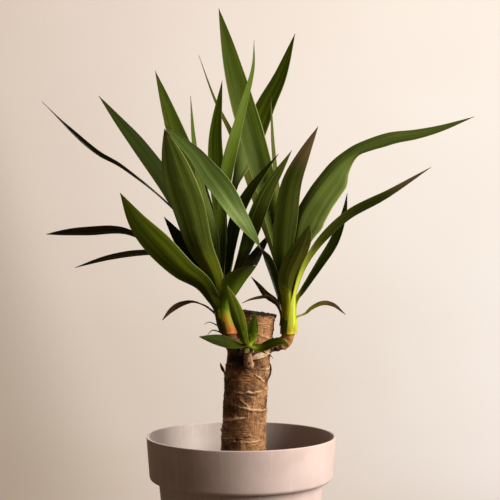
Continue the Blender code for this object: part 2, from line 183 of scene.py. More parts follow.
# %% [markdown]
# Fine meshes are built as a skin of rings: every ring has the same number of points, and neighbouring
# rings are joined by quads. A tube, a trunk and a leaf blade can all be made this way. Named values,
# such as how far along a leaf a point lies, go with the points as attributes, and the finishes read
# them.

# %% Mesh helpers
def piece_from(name, verts, faces, finishes, attributes=None):
    """A smooth mesh piece, with point attributes for its finish."""
    mesh = bpy.data.meshes.new(name)
    mesh.from_pydata(verts, [], faces)
    for made in finishes:
        mesh.materials.append(made)
    for label, values in (attributes or {}).items():
        if isinstance(values[0], (tuple, Vector)):
            layer = mesh.attributes.new(label, "FLOAT_VECTOR", "POINT")
            layer.data.foreach_set("vector", [part for value in values for part in value])
        else:
            layer = mesh.attributes.new(label, "FLOAT", "POINT")
            layer.data.foreach_set("value", values)
    mesh.shade_smooth()
    mesh.validate()
    piece = bpy.data.objects.new(name, mesh)
    bpy.context.scene.collection.objects.link(piece)
    return piece


def skin(rows, sides):
    """Quads between rings of points, each ring closed on itself."""
    faces = []
    for low in range(0, rows * sides, sides):
        for k in range(sides):
            after = (k + 1) % sides
            faces.append((low + k, low + after, low + sides + after, low + sides + k))
    return faces


def closed_skin(rows, sides):
    """A skin with a face across each of its two ends."""
    first = tuple(range(sides - 1, -1, -1))
    last = tuple(range(rows * sides, (rows + 1) * sides))
    return skin(rows, sides) + [first, last]


def stand_in(piece, node):
    """Makes a piece stand for a node of the frame and ride with it."""
    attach(piece, "root")
    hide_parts(node)


# %% [markdown]
# A leaf, a stem and the cane all follow a route through a few chosen places. The curve that passes
# smoothly through them is a Catmull-Rom curve, read at even distances so that the rows of the mesh are
# evenly long.

# %% Route helpers
CURVE_STEPS = 16


def in_metres(places):
    """Vectors in metres from places in millimetres."""
    return [Vector(place) * MM for place in places]


def cubic(before, start, end, after, t):
    """A Catmull-Rom curve between start and end."""
    return 0.5 * (
        2 * start
        + (end - before) * t
        + (2 * before - 5 * start + 4 * end - after) * t ** 2
        + (3 * start - before - 3 * end + after) * t ** 3
    )


def smooth_route(points, rows):
    """Evenly spaced places along a smooth curve that passes through the points."""
    padded = [2 * points[0] - points[1], *points, 2 * points[-1] - points[-2]]
    fine = []
    for before, start, end, after in zip(padded, padded[1:], padded[2:], padded[3:]):
        fine += [cubic(before, start, end, after, step / CURVE_STEPS) for step in range(CURVE_STEPS)]
    fine.append(points[-1].copy())
    lengths = [0.0]
    for a, b in zip(fine, fine[1:]):
        lengths.append(lengths[-1] + (b - a).length)
    route = []
    span = 0
    for row in range(rows + 1):
        wanted = lengths[-1] * row / rows
        while span < len(fine) - 2 and lengths[span + 1] < wanted:
            span += 1
        share = (wanted - lengths[span]) / (lengths[span + 1] - lengths[span])
        route.append(fine[span].lerp(fine[span + 1], min(max(share, 0.0), 1.0)))
    return route


def directions(route):
    """The direction of travel at each place of a route."""
    last = len(route) - 1
    return [(route[min(i + 1, last)] - route[max(i - 1, 0)]).normalized() for i in range(last + 1)]


def eased(values, share):
    """The value at a share of the way along evenly spaced values, on a smooth curve."""
    last = len(values) - 1
    place = min(max(share, 0.0), 1.0) * last
    index = min(int(place), last - 1)
    near = [values[min(max(index + step, 0), last)] for step in (-1, 0, 1, 2)]
    return cubic(*near, place - index)


# %% [markdown]
# The planter is moulded plastic in a dull pinkish grey, with a deep band round its rim. It is a turned
# shape, so a half outline is drawn once and a Screw modifier turns it round the axis. The packed
# planter has 48 sides; this one has four times as many, on the same outline, so that its rim is a
# clean ellipse.

# %% Planter sizes
POT_HEIGHT = 200 * MM
RIM_RADIUS = 110 * MM
BAND_HEIGHT = 50 * MM
BAND_FOOT_RADIUS = 106.5 * MM
BAND_CORNER = 5 * MM
BODY_TOP_RADIUS = 96 * MM
BODY_FOOT_RADIUS = 80 * MM
FOOT_CORNER = 5 * MM
WALL = 2.8 * MM
LIP_ROUND = 1.2 * MM
POT_TURNS = 192
CORNER_STEPS = 8
LIP_STEPS = 6
SHARP_ANGLE = 50


def arc(center, radius, start, end, steps):
    """Places along an arc in the (radius, height) plane, with angles in degrees."""
    places = []
    for step in range(steps + 1):
        angle = math.radians(start + (end - start) * step / steps)
        places.append((center[0] + radius * math.cos(angle), center[1] + radius * math.sin(angle)))
    return places


def pot_skin(inset):
    """The planter's outline from its foot to its band's lower corner, moved inward by an inset."""
    corner = FOOT_CORNER - inset
    foot = BODY_FOOT_RADIUS - inset
    places = arc((foot - corner, inset + corner), corner, -90, -5, CORNER_STEPS)
    places.append((BODY_TOP_RADIUS - inset, POT_HEIGHT - BAND_HEIGHT + inset))
    corner = BAND_CORNER - inset
    center = (BAND_FOOT_RADIUS - inset - corner, POT_HEIGHT - BAND_HEIGHT + BAND_CORNER)
    return places + arc(center, corner, -90, 0, CORNER_STEPS)


# %% [markdown]
# The plastic is not one flat colour: it has a faint mottle of slightly browner and greyer patches,
# fine pale and dark specks, soft upright streaks where water ran down, and a fine moulded grain that
# breaks up its dull shine. The inside is a little greyer than the outside.

# %% Planter finish
def plastic(name, body, shade, pale):
    """Matte moulded plastic with a mottle, specks, faint streaks and a fine grain."""
    made, tree, shader = finish_tree(name)
    place = object_place(tree)
    mottle = grain(tree, place, (22, 22, 22), 5.0)
    streaks = grain(tree, place, (190, 190, 6), 2.0)
    specks = grain(tree, place, (1500, 1500, 1500), 1.0)
    color = layered(tree, body, (
        (mottle, 0.35, 0.7, 1.0, shade),
        (streaks, 0.52, 0.75, 0.35, pale),
        (specks, 0.62, 0.7, 0.3, shade),
        (specks, 0.36, 0.3, 0.35, pale),
    ))
    coat(tree, shader, color, between(tree, mottle, 0.3, 0.75, 0.46, 0.6), 0.35)
    fine = grain(tree, place, (2600, 2600, 2600), 2.0)
    relief(tree, shader, fine, 0.06 * MM, 0.5)
    return made


pot_outside = plastic("pot_outside", (206, 186, 180), (194, 172, 164), (218, 202, 197))
pot_inside = plastic("pot_inside", (186, 173, 168), (174, 159, 152), (200, 188, 184))

# %% [markdown]
# The half outline runs up the outside from the foot, over the rounded lip, and down the inside. Every
# curve in it is an arc. The faces that look at the axis take the inside's finish.

# %% Planter
def turned(name, outline, turns, finishes):
    """Turns a half outline round the Z axis with a Screw modifier."""
    mesh = bpy.data.meshes.new(name)
    points = [(radius, 0, height) for radius, height in outline]
    mesh.from_pydata(points, [(i, i + 1) for i in range(len(points) - 1)], [])
    for made in finishes:
        mesh.materials.append(made)
    piece = bpy.data.objects.new(name, mesh)
    bpy.context.scene.collection.objects.link(piece)
    screw = piece.modifiers.new("turn", "SCREW")
    screw.steps = turns
    screw.render_steps = turns
    screw.use_merge_vertices = True
    screw.merge_threshold = 0.00001
    screw.use_smooth_shade = True
    screw.use_normal_calculate = True
    return piece


def applied(piece):
    """Applies a piece's modifiers to its mesh."""
    graph = bpy.context.evaluated_depsgraph_get()
    mesh = bpy.data.meshes.new_from_object(piece.evaluated_get(graph))
    piece.modifiers.clear()
    piece.data = mesh
    mesh.name = piece.name


outer_lip = arc((RIM_RADIUS - LIP_ROUND, POT_HEIGHT - LIP_ROUND), LIP_ROUND, 0, 90, LIP_STEPS)
inner_lip = arc((RIM_RADIUS - WALL + LIP_ROUND, POT_HEIGHT - LIP_ROUND), LIP_ROUND, 90, 180, LIP_STEPS)
inside_outline = list(reversed(pot_skin(WALL)))
pot_outline = [(0, 0), *pot_skin(0), *outer_lip, *inner_lip, *inside_outline, (0, WALL)]
planter = turned("planter", pot_outline, POT_TURNS, [pot_outside, pot_inside])
applied(planter)
inner_reach = RIM_RADIUS - WALL + 0.2 * MM
for face in planter.data.polygons:
    center = face.center
    faces_axis = face.normal.x * center.x + face.normal.y * center.y < 0
    if faces_axis and center.z > WALL and math.hypot(center.x, center.y) < inner_reach:
        face.material_index = 1
planter.data.set_sharp_from_angle(angle=math.radians(SHARP_ANGLE))
stand_in(planter, "pot")
print("planter faces:", len(planter.data.polygons))

# %% [markdown]
# The soil lies well below the rim. From the front the rim hides it, and from above it shows: dark
# brown peat, lumpy, with crumbs and small bits of bark. One fine disc carries the lumps, and a few
# hundred small crumbs lie on it. They are all one mesh, so the soil stays one piece.

# %% Soil finish
def peat(name):
    """Dark moist peat with paler dry crumbs and fibres."""
    made, tree, shader = finish_tree(name)
    place = object_place(tree)
    lumps = grain(tree, place, (130, 130, 130), 6.0, 0.65)
    fine = grain(tree, place, (900, 900, 900), 4.0, 0.7)
    fibres = grain(tree, place, (1400, 300, 900), 2.0)
    color = layered(tree, (34, 24, 18), (
        (lumps, 0.35, 0.65, 1.0, (66, 47, 34)),
        (fine, 0.5, 0.72, 0.7, (96, 70, 50)),
        (fibres, 0.68, 0.76, 0.8, (140, 106, 76)),
    ))
    coat(tree, shader, color, 0.95, 0.2)
    relief(tree, shader, fine, 0.8 * MM, 0.9)
    return made


peat_finish = peat("peat")

# %% [markdown]
# The disc is a skin of rings that step inward from the wall of the planter, raised a little towards the
# cane. A crumb is a coarse ball, bent by noise, flattened, turned and half sunk in the surface.

# %% Soil
SOIL_LEVEL = 157 * MM
SOIL_MOUND = 4 * MM
SOIL_LUMP = 2.0 * MM
SOIL_EDGE = RIM_RADIUS - WALL - 3.4 * MM
SOIL_EDGE_DROP = 1.8 * MM
SOIL_RINGS = 64
SOIL_SIDES = 200
SOIL_INWARD = 0.97
CRUMB_COUNT = 420
chance = random.Random(7)


def soil_height(x, y):
    """The lumpy surface of the soil."""
    share = 1 - min(math.hypot(x, y) / SOIL_EDGE, 1.0)
    rise = SOIL_LEVEL + SOIL_MOUND * math.sin(share * math.pi / 2)
    lumps = noise.fractal(Vector((x * 70, y * 70, 0)), 0.9, 2.1, 5)
    return rise + SOIL_LUMP * lumps


soil_verts = []
for ring in range(SOIL_RINGS + 1):
    for k in range(SOIL_SIDES):
        reach = SOIL_EDGE * (1 - ring / SOIL_RINGS * SOIL_INWARD)
        x = reach * math.cos(2 * math.pi * k / SOIL_SIDES)
        y = reach * math.sin(2 * math.pi * k / SOIL_SIDES)
        soil_verts.append((x, y, soil_height(x, y) if ring else SOIL_LEVEL - SOIL_EDGE_DROP))
soil_faces = skin(SOIL_RINGS, SOIL_SIDES)
lump_shape = bmesh.new()
bmesh.ops.create_icosphere(lump_shape, subdivisions=1, radius=1.0)
lump_points = [vert.co.copy() for vert in lump_shape.verts]
lump_faces = [[vert.index for vert in face.verts] for face in lump_shape.faces]
lump_shape.free()
for _ in range(CRUMB_COUNT):
    reach = SOIL_EDGE * math.sqrt(chance.uniform(0.08, 0.93))
    turn = chance.uniform(0, 2 * math.pi)
    size = MM * chance.uniform(0.7, 3.2) ** 1.1
    x, y = reach * math.cos(turn), reach * math.sin(turn)
    heading = Matrix.Rotation(chance.uniform(0, 6), 3, "Z")
    spin = heading @ Matrix.Rotation(chance.uniform(-0.6, 0.6), 3, "X")
    flat = Vector((chance.uniform(0.8, 1.5), chance.uniform(0.5, 1.0), chance.uniform(0.35, 0.7)))
    first = len(soil_verts)
    for point in lump_points:
        bent = point * (1 + 0.35 * noise.noise(point * 2 + Vector((first, 0, 0))))
        moved = spin @ Vector([a * b for a, b in zip(bent, flat)]) * size
        soil_verts.append((x + moved.x, y + moved.y, soil_height(x, y) + 0.3 * size + moved.z))
    soil_faces += [[first + corner for corner in face] for face in lump_faces]
soil = piece_from("soil_surface", soil_verts, soil_faces, [peat_finish])
stand_in(soil, "soil")
print("soil crumbs:", CRUMB_COUNT)

# %% [markdown]
# The cane is the real work of this lesson. Its bark is a pile of old leaf scars: each one runs part of the
# way round, stands out in a thin pale lip, and tapers away below it like a shingle. Between the lips the
# bark is fibrous. A formula for the height of the bark over every point, as an angle round the cane and a
# height above the floor, gives both the shape and the pattern that colours it. The scars on the front are
# listed one by one, and the others follow a seeded rule.

# %% Bark scars
Scar = namedtuple("Scar", "middle span height tilt sag strength")
FRONT_SCARS = (
    Scar(12, 41, 253, 1.7, 0.0, 1.0),
    Scar(20, 58, 233, -3.2, 3.4, 1.1),
    Scar(-2, 15, 241, -5.4, 0.0, 0.8),
    Scar(-39, 46, 221, 3.7, -0.9, 1.5),
    Scar(48, 34, 217, -1.5, 1.0, 0.5),
    Scar(5, 46, 196, 1.2, 1.3, 0.9),
    Scar(39, 20, 269, -5.0, 0.0, 1.0),
    Scar(-60, 24, 245.5, 0.0, 0.5, 0.7),
    Scar(-95, 32, 206, 1.0, 0.0, 1.6),
    Scar(-30, 38, 266, 2.0, 1.0, 0.5),
    Scar(-25, 40, 182, -1.5, 1.5, 0.8),
    Scar(30, 44, 175, 2.0, 1.0, 0.8),
    Scar(15, 30, 332, 1.5, 1.0, 0.5),
    Scar(40, 30, 318, -2.0, 1.0, 0.6),
    Scar(-70, 40, 281, 3.0, 1.0, 0.8),
)
SCAR_PITCH = 12.5
SCAR_STEPS = 15
FIRST_SCAR = 158
BACK_START, BACK_END = 80, 280
chance = random.Random(11)
scars = list(FRONT_SCARS)
for step in range(SCAR_STEPS):
    for turn in (0, 1):
        scars.append(Scar(
            middle=chance.uniform(BACK_START, BACK_END),
            span=chance.uniform(28, 62),
            height=FIRST_SCAR + SCAR_PITCH * (step + 0.5 * turn) + chance.uniform(-3, 3),
            tilt=chance.uniform(-4, 4),
            sag=chance.uniform(0, 3),
            strength=chance.uniform(0.6, 1.1),
        ))
print("scars on the cane:", len(scars))

# %% [markdown]
# Two numbers come out of the scars for each point of the bark: how far a shingle stands out, and how near
# the point is to a pale lip; the second turns negative in a painted shadow just under each lip. The round
# eye on the right of the cane is where a side shoot once grew: a shallow ring with a grey middle.

# %% Bark formula
BARK_RADIUS = 25.4
LIP_WIDTH = 1.5
SHINGLE_TAPER = 5.0
SCAR_BELOW, SCAR_ABOVE = 22, 4
EYE_ANGLE, EYE_HEIGHT, EYE_RADIUS = 43, 275.5, 4.8


def bell(value, middle, spread):
    """1 at the middle, falling smoothly to 0 on both sides."""
    return math.exp(-((value - middle) / spread) ** 2)


def soft_step(value, place, width):
    """1 under a place and 0 over it, or the other way round where the width is negative."""
    return 1 / (1 + math.exp((value - place) / width))


def scar_marks(angle, height):
    """How far the scars stand out at an angle in degrees and a height in mm, and how near a lip is.

    Just under each lip lies a painted shadow, where the second number is negative.
    """
    shelf = 0.0
    lip = 0.0
    lip_shadow = 0.0
    for number, scar in enumerate(scars):
        t = ((angle - scar.middle + 180) % 360 - 180) / scar.span
        if abs(t) >= 1:
            continue
        wander = 1.3 * noise.noise(Vector((angle / 13, number * 5.3, 0)))
        above = height - (scar.height + scar.tilt * t + scar.sag * t * t + wander)
        if above < -SCAR_BELOW or above > SCAR_ABOVE:
            continue
        worn = 0.74 + 0.7 * noise.fractal(Vector((angle / 16, number * 3.1, height / 2.2)), 0.7, 2.0, 3)
        fade = math.sqrt(1 - t * t) * scar.strength
        fall = math.exp(above / SHINGLE_TAPER) if above < 0 else math.exp(-above / 0.6)
        swell = 0.6 * noise.noise(Vector((angle / 11, number * 7.7, 3)))
        wide = LIP_WIDTH * max(0.3, 0.5 + 0.7 * swell + 0.5 * scar.strength * (1 - t * t))
        shelf = max(shelf, fade * fall)
        lip = max(lip, fade * worn * bell(above, 0, wide))
        # A painted shadow: the dark line that an overhanging lip would cast just under it.
        lip_shadow = max(lip_shadow, fade * bell(above, -2.2 * wide, wide))
    return shelf, lip - lip_shadow * max(0.0, 1 - 2 * lip)


def eye_marks(angle, height):
    """The ring of the old side shoot, and the middle inside it."""
    away = math.hypot((angle - EYE_ANGLE) * math.pi / 180 * BARK_RADIUS, height - EYE_HEIGHT)
    away += 1.2 * noise.noise(Vector((angle / 8, height / 4, 9)))
    return bell(away, EYE_RADIUS, 0.9), soft_step(away, EYE_RADIUS, 0.4)


def fibres(x, y, z):
    """Fibrous relief from about -1 to 1, mostly upright in some places and mostly level in others."""
    upright = noise.fractal(Vector((x / 1.5, y / 1.5, z / 12)), 0.8, 2.0, 3)
    level = noise.fractal(Vector((x / 7, y / 7, z / 1.1)), 0.8, 2.0, 3)
    share = min(max(0.5 + 1.6 * noise.noise(Vector((x / 16, y / 16, z / 20))), 0.0), 1.0)
    return upright * share + level * (1 - share)


# %% [markdown]
# Bark colour goes from near black in the low relief through warm brown to pale tan on the lips. The near
# black in the low relief is painted shade, the tan on the high relief is a painted highlight, and a dark
# line just under each lip is a painted shadow. The finish reads four numbers that the mesh carries: the
# depth of the relief, the nearness of a lip, which turns negative in the painted shadow under it, a slow
# tone that makes whole patches darker or paler and also paints the side that faces the lamp paler, and how
# fresh and orange the bark still is. Finer fibres than the mesh can hold come from noise.

# %% Bark finish
def bark(name):
    """Fibrous ringed bark with cracks, pale lips and dark dried patches, painted shade in its low relief, a
    painted highlight on its high relief and a painted shadow under each lip.
    """
    made, tree, shader = finish_tree(name)
    place = object_place(tree)
    depth, lip, slow, fresh = (carried(tree, "bark_" + part) for part in ("depth", "lip", "tone", "fresh"))
    threads = grain(tree, place, (900, 900, 110), 4.0, 0.65)
    cross = grain(tree, place, (150, 150, 800), 4.0, 0.65)
    fleck = grain(tree, place, (330, 330, 330), 4.0, 0.7)
    color = layered(tree, (78, 46, 27), (
        (slow, 0.0, 1.0, 1.0, (156, 111, 72)),
        (fleck, 0.52, 0.7, 0.5, (200, 156, 108)),
        (fleck, 0.47, 0.34, 0.6, (56, 32, 19)),
        (threads, 0.5, 0.68, 0.25, (196, 152, 106)),
        (cross, 0.47, 0.36, 0.6, (54, 30, 18)),
        # Painted shade in the low relief, then a painted highlight on the high relief.
        (depth, 0.42, 0.16, 0.9, (34, 20, 13)),
        (depth, 0.65, 0.95, 0.4, (206, 164, 118)),
        # The dark line just under each lip is a painted shadow.
        (lip, -0.1, -0.7, 0.85, (34, 19, 12)),
        (lip, 0.15, 0.8, 0.9, (198, 160, 124)),
        (threads, 0.44, 0.3, 0.4, (62, 36, 22)),
        (fresh, 0.0, 1.0, 1.0, (170, 118, 58)),
        (slow, -0.1, -0.8, 1.0, (40, 27, 22)),
    ))
    coat(tree, shader, color, between(tree, fleck, 0.3, 0.7, 0.72, 0.92), 0.25)
    coarse = relief(tree, shader, cross, 0.6 * MM, 0.8)
    relief(tree, shader, threads, 0.35 * MM, 0.7, coarse)
    return made


bark_finish = bark("cane_bark_finish")

# %% [markdown]
# The trunk is a skin of 256-point rings, 0.6 mm apart where it shows, that follow the cane's leaning
# axis. Each kind of relief has a weight, which is about the millimetres that it adds to the radius.
# The top was sawn off flat: the wood has dried nearly black, and the torn edge of the bark stands up
# round it in a dark rim.

# %% Trunk
CANE_AXIS = ((-2, 0, 55), (2.6, 0, 185), (5, 0, 251), (8, 0, 287), (14.8, 0, 343.5))
CANE_RADIUS = BARK_RADIUS * MM
CANE_RIM_FLARE = 1.2 * MM
CANE_RIM_HEIGHT = 8 * MM
CANE_OVAL = 0.7 * MM
CANE_SIDES = 256
CANE_ROWS = 480
SHOWN_FROM = 150 * MM
DRIED_RIM = 2.6
SWELL_UNDER, SWELL_OVER = 215, 30
PATCH_RADIUS = 25
FRONT = Vector((0, -1, 0))


def patch_tone(angle, height):
    """The slow tone of the bark: about 0 is brown, 1 is tan, and under 0 is dark and dried. It also paints
    the side that faces the lamp paler, which is painted light.
    """
    x, y = PATCH_RADIUS * math.cos(math.radians(angle)), PATCH_RADIUS * math.sin(math.radians(angle))
    value = 0.45 + 0.9 * noise.fractal(Vector((x / 18, y / 18, height / 15)), 0.8, 2.0, 3)
    stain = bell(angle, -22, 45) * bell(height, 290, 11)
    smooth = bell(angle, 28, 14) * bell(height, 241, 6)
    upper = soft_step(height, 303, -3) * (0.5 + 0.5 * math.cos(math.radians(angle - 40)))
    # Painted light: this term makes the side that faces the lamp paler and the far side darker.
    right = 0.25 * math.cos(math.radians(angle - 60))
    lower = bell(angle, 8, 34) * soft_step(height, 210, 4)
    return min(value + right - 1.5 * stain + 0.45 * upper + 0.5 * smooth + 0.6 * lower, 1.2)


cane_axis = smooth_route(in_metres(CANE_AXIS), CANE_ROWS)
hidden = [place for place in cane_axis if place.z < SHOWN_FROM]
shown = cane_axis[len(hidden):]
cane_route = hidden[::len(hidden) // 4] + shown
cane_verts, depths, lips, tones, warm = [], [], [], [], []
for place, way in zip(cane_route, directions(cane_route)):
    side = (FRONT - way * FRONT.dot(way)).normalized()
    other = way.cross(side)
    below_top = (cane_route[-1] - place).length
    flare = CANE_RIM_FLARE * max(0, 1 - below_top / CANE_RIM_HEIGHT)
    for k in range(CANE_SIDES):
        turn = 2 * math.pi * k / CANE_SIDES
        degrees = math.degrees(turn) if k <= CANE_SIDES / 2 else math.degrees(turn) - 360
        height = place.z / MM
        x, y = BARK_RADIUS * math.cos(turn), BARK_RADIUS * math.sin(turn)
        shelf, lip = scar_marks(degrees, height)
        ring, eye = eye_marks(degrees, height)
        thread = fibres(x, y, height)
        lump = noise.fractal(Vector((x / 10, y / 10, height / 9)), 1.0, 2.0, 3)
        foot = min(max((SWELL_UNDER - height) / SWELL_OVER, 0.0), 1.0)
        out = 1.3 * shelf + 0.45 * lip + 0.6 * thread + 0.7 * lump + 0.7 * ring - 0.4 * eye + 0.1 + foot
        radius = CANE_RADIUS + flare + CANE_OVAL * math.sin(2 * turn + 0.7) + out * MM
        cane_verts.append(place + radius * (side * math.cos(turn) + other * math.sin(turn)))
        dried = soft_step(below_top / MM, DRIED_RIM + 2.2 * lump, 0.5)
        # The finish paints this relief darker where it is low, as painted shade, and paler where it is high,
        # as a painted highlight.
        depths.append(0.5 + 0.35 * thread + 0.25 * lump + 0.25 * shelf)
        lips.append(max(lip, 0.45 * ring) * (1 - dried))
        tones.append((patch_tone(degrees, height) - 0.35 * eye) * (1 - dried) - 1.0 * dried)
        warm.append(0.5 * bell(degrees, -8, 40) * bell(height, 268, 9))
print("rows of bark:", len(cane_route))

# %% [markdown]
# The sawn top closes the trunk with rings that step inward: over the torn rim, down onto the wood, and
# in to the middle, with the faint parallel grooves that a saw leaves.

# %% Sawn top
TOP_RINGS = ((0.985, 0.5), (0.95, 0.3), (0.92, -0.7), (0.8, -0.9), (0.66, -1.0), (0.52, -1.0), (0.38, -1.0),
             (0.24, -0.9), (0.1, -0.9), (0.01, -0.9))
rim = cane_verts[-CANE_SIDES:]
top_middle = cane_route[-1]
top_way = directions(cane_route)[-1]
for k, corner in enumerate(rim):
    jag = noise.fractal(Vector((corner.x * 260, corner.y * 260, 3)), 0.7, 2.0, 3)
    corner += top_way * (jag * 0.9 - 0.6) * MM
for share, drop in TOP_RINGS:
    for corner in rim:
        place = top_middle.lerp(corner, share)
        saw = 0.18 * math.sin(place.x * 1900 + place.y * 700) if share < 0.95 else 0.0
        rough = 0.35 * noise.noise(place * 400)
        cane_verts.append(place + top_way * (drop + saw + rough) * MM)
        depths.append(0.4 + 0.3 * noise.noise(place * 500))
        lips.append(0.0)
        tones.append(-0.75 + 0.35 * noise.noise(place * 120))
        warm.append(0.0)
rows = len(cane_route) - 1 + len(TOP_RINGS)
trunk = piece_from("trunk", cane_verts, closed_skin(rows, CANE_SIDES), [bark_finish], {
    "bark_depth": depths, "bark_lip": lips, "bark_tone": tones, "bark_fresh": warm,
})
stand_in(trunk, "cane")
print("trunk faces:", len(trunk.data.polygons))

# %% [markdown]
# Each shoot stands on a short woody stub that bends up out of the trunk. A stub is a tube with
# crowded rings and knobs. Towards the shoot its bark is young, orange brown and smoother.

# %% Stubs
Stub = namedtuple("Stub", "name places radii fresh tone pale")
STUBS = (
    Stub("left_stub", ((12, -8, 296), (-1, -18, 301), (-11, -26, 309), (-14, -28, 319.7)),
         (8, 8.6, 9.2, 8.4), 0.2, -0.1, 0.0),
    Stub("right_stub", ((14, -3, 304), (30, -5, 305.5), (43, -7, 306.5), (51, -8, 309.5), (54.5, -8, 317.7)),
         (9, 9.2, 8.4, 7.4, 7.4), 0.8, 0.3, 0.1),
    Stub("front_stub", ((10, -16, 284), (9, -27, 286), (8, -33, 291), (8, -34, 298.7)),
         (5.5, 5.8, 5.0, 4.4), 0.15, 0.8, 0.42),
)
STUB_SIDES = 96
STUB_ROW = 0.6 * MM
STUB_RING_PITCH = 5.2
LEAST_RINGS = 8


def tube_rings(points, radii, row_length, sides, bulge):
    """Rings of points along a route, with a bulge in mm that a function gives for each point."""
    length = sum((b - a).length for a, b in zip(points, points[1:]))
    rows = max(LEAST_RINGS, round(length / row_length))
    route = smooth_route(points, rows)
    ways = directions(route)
    ways[-1] = Vector((0, 0, 1))
    side = ways[0].orthogonal().normalized()
    verts = []
    for row, (place, way) in enumerate(zip(route, ways)):
        side = (side - way * side.dot(way)).normalized()
        other = way.cross(side)
        for k in range(sides):
            turn = 2 * math.pi * k / sides
            outward = side * math.cos(turn) + other * math.sin(turn)
            radius = eased(radii, row / rows) * MM
            surface = place + outward * radius
            extra = bulge(surface / MM, row / rows, length / MM * row / rows)
            verts.append(surface + outward * extra * MM)
    return verts, rows


def knobs(place):
    """The knobs of a stub, from about -1 to 1."""
    return noise.fractal(place / 6, 0.9, 2.0, 4)


def stub_bulge(place, share, along):
    """Knobs and crowded rings, fading out at the end that meets the shoot."""
    wander = 2.0 * noise.noise(place / 9)
    ring = bell((along + wander) / STUB_RING_PITCH % 1, 0.5, 0.16)
    fade = min(1.0, (1 - share) * 8)
    return (0.6 * ring + 1.1 * knobs(place) - 0.4) * fade


for stub in STUBS:
    verts, rows = tube_rings(in_metres(stub.places), stub.radii, STUB_ROW, STUB_SIDES, stub_bulge)
    depths, lips, tones, fresh = [], [], [], []
    for index, vert in enumerate(verts):
        share = index // STUB_SIDES / rows
        place = vert / MM
        knob = knobs(place)
        # The finish paints the low knobs darker, as painted shade, and the high ones paler, as a painted
        # highlight.
        depths.append(0.5 + 0.5 * knob)
        lips.append(stub.pale + max(0.0, noise.noise(place / 3) - 0.25) * 1.2)
        tones.append(stub.tone + 0.7 * noise.noise(place / 7))
        fresh.append(stub.fresh * min(max(share * 2.4 - 1.2 + 0.6 * knob, 0.0), 1.0))
    piece = piece_from(stub.name, verts, closed_skin(rows, STUB_SIDES), [bark_finish], {
        "bark_depth": depths, "bark_lip": lips, "bark_tone": tones, "bark_fresh": fresh,
    })
    stand_in(piece, "cane")
    print(stub.name, "rows:", rows)

# %% [markdown]
# A leaf is a long blade, narrow at its neck, widest near its middle and drawn out to a sharp tip. Its
# section is a shallow V: deep at the root, where it clasps the stem, and nearly flat at the tip. It
# turns about its own route as the roll values say. Each point of the mesh carries its place on the
# leaf: how far across, how far along, and a number of its leaf's own that moves the pattern, so that
# no two leaves are striped alike. It also carries its distance from the root.

# %% Leaf blade
ACROSS = (-1, -0.95, -0.82, -0.62, -0.4, -0.18, -0.05, 0.05, 0.18, 0.4, 0.62, 0.82, 0.95, 1)
LEAF_ROW = 3.5 * MM
LEAST_ROWS = 20
BLADE_MIDDLE = 1.6
BLADE_TIP = 0.6
BLADE_MARGIN = 0.4
TIP_WIDTH = 0.5
LEAST_SIDE = 0.05
NECK_SHARE = 0.42
TAPER_POWER = 1.7
FOLD_AT_ROOT = 0.5
FOLD_AT_TIP = 0.08
RIPPLE = 0.07


def blade_width(share, widest, taper, neck):
    """The width of a sword-shaped blade, as a share of its widest, from root to tip."""
    if share < widest:
        rise = share / widest
        return neck + (1 - neck) * rise * rise * (3 - 2 * rise)
    return 1 - ((share - widest) / (1 - widest)) ** taper


def blade_rows(points, leaf, number):
    """Rows of a fine blade along a route in metres: for each, its points above and below."""
    length = sum((b - a).length for a, b in zip(points, points[1:]))
    rows = max(LEAST_ROWS, round(length / LEAF_ROW))
    route = smooth_route(points, rows)
    outward = points[-1] - points[0]
    outward.z = 0
    across = outward.normalized().cross(Vector((0, 0, 1)))
    made = []
    for row, (place, way) in enumerate(zip(route, directions(route))):
        share = row / rows
        side = (across - way * across.dot(way)).normalized()
        side.rotate(Matrix.Rotation(math.radians(eased(leaf.roll, share)), 3, way))
        face = side.cross(way).normalized()
        half = max(leaf.width * blade_width(share, leaf.widest, leaf.taper, leaf.neck), TIP_WIDTH) / 2 * MM
        fold = leaf.fold * (FOLD_AT_TIP + (FOLD_AT_ROOT - FOLD_AT_TIP) * (1 - share) ** 2)
        middle = BLADE_MIDDLE + (BLADE_TIP - BLADE_MIDDLE) * share
        right = max(eased(leaf.right, share), LEAST_SIDE)
        above, below = [], []
        for u in ACROSS:
            ripple = noise.noise(Vector((number * 3.7 + (5 if u > 0 else 0), length * share * 26, 0)))
            reach = u * (right if u > 0 else 1.0)
            lift = half * (fold * abs(u) ** 1.2 + RIPPLE * ripple * u * u)
            thick = (BLADE_MARGIN + (middle - BLADE_MARGIN) * (1 - abs(u)) ** 1.3) * MM
            center = place + side * half * reach + face * lift
            above.append(center + face * thick / 2)
            below.append(center - face * thick / 2)
        made.append((share, length * share, above, below))
    return made


def blade(name, rows, number, finish):
    """A closed mesh of a blade from its rows, with each point's place on the leaf."""
    verts, places, distances = [], [], []
    for share, distance, above, below in rows:
        verts += above + below[::-1]
        places += [(u, share, number) for u in ACROSS + ACROSS[::-1]]
        distances += [distance] * (2 * len(ACROSS))
    sides = 2 * len(ACROSS)
    last = len(rows) - 1
    faces = skin(last, sides)
    for end in (0, last * sides):
        for k in range(len(ACROSS) - 1):
            faces.append((end + k, end + k + 1, end + sides - 2 - k, end + sides - 1 - k))
    return piece_from(name, verts, faces, [finish], {"leaf_place": places, "from_root": distances})


# %% [markdown]
# A leaf's finish is green with fine lengthwise veins, a paler fold along its middle, a thin pale
# margin, a yellow root with green stripes and a brown needle tip. Slow patches make it duller or
# glossier, as the wax on a real leaf does. One function makes all the finishes, from the colours that
# differ.

# %% Leaf finish
PALE_EDGE = (150, 152, 92)
DRY_TIP = (62, 38, 20)
LEAF_GLOSS = (0.75, 0.95, 0.3, 1.0)
Greens = namedtuple("Greens", "deep light margin tip dry shine", defaults=(PALE_EDGE, DRY_TIP, 0.97, 0.48))
Roots = namedtuple("Roots", "foot foot_reach young reach clasp")


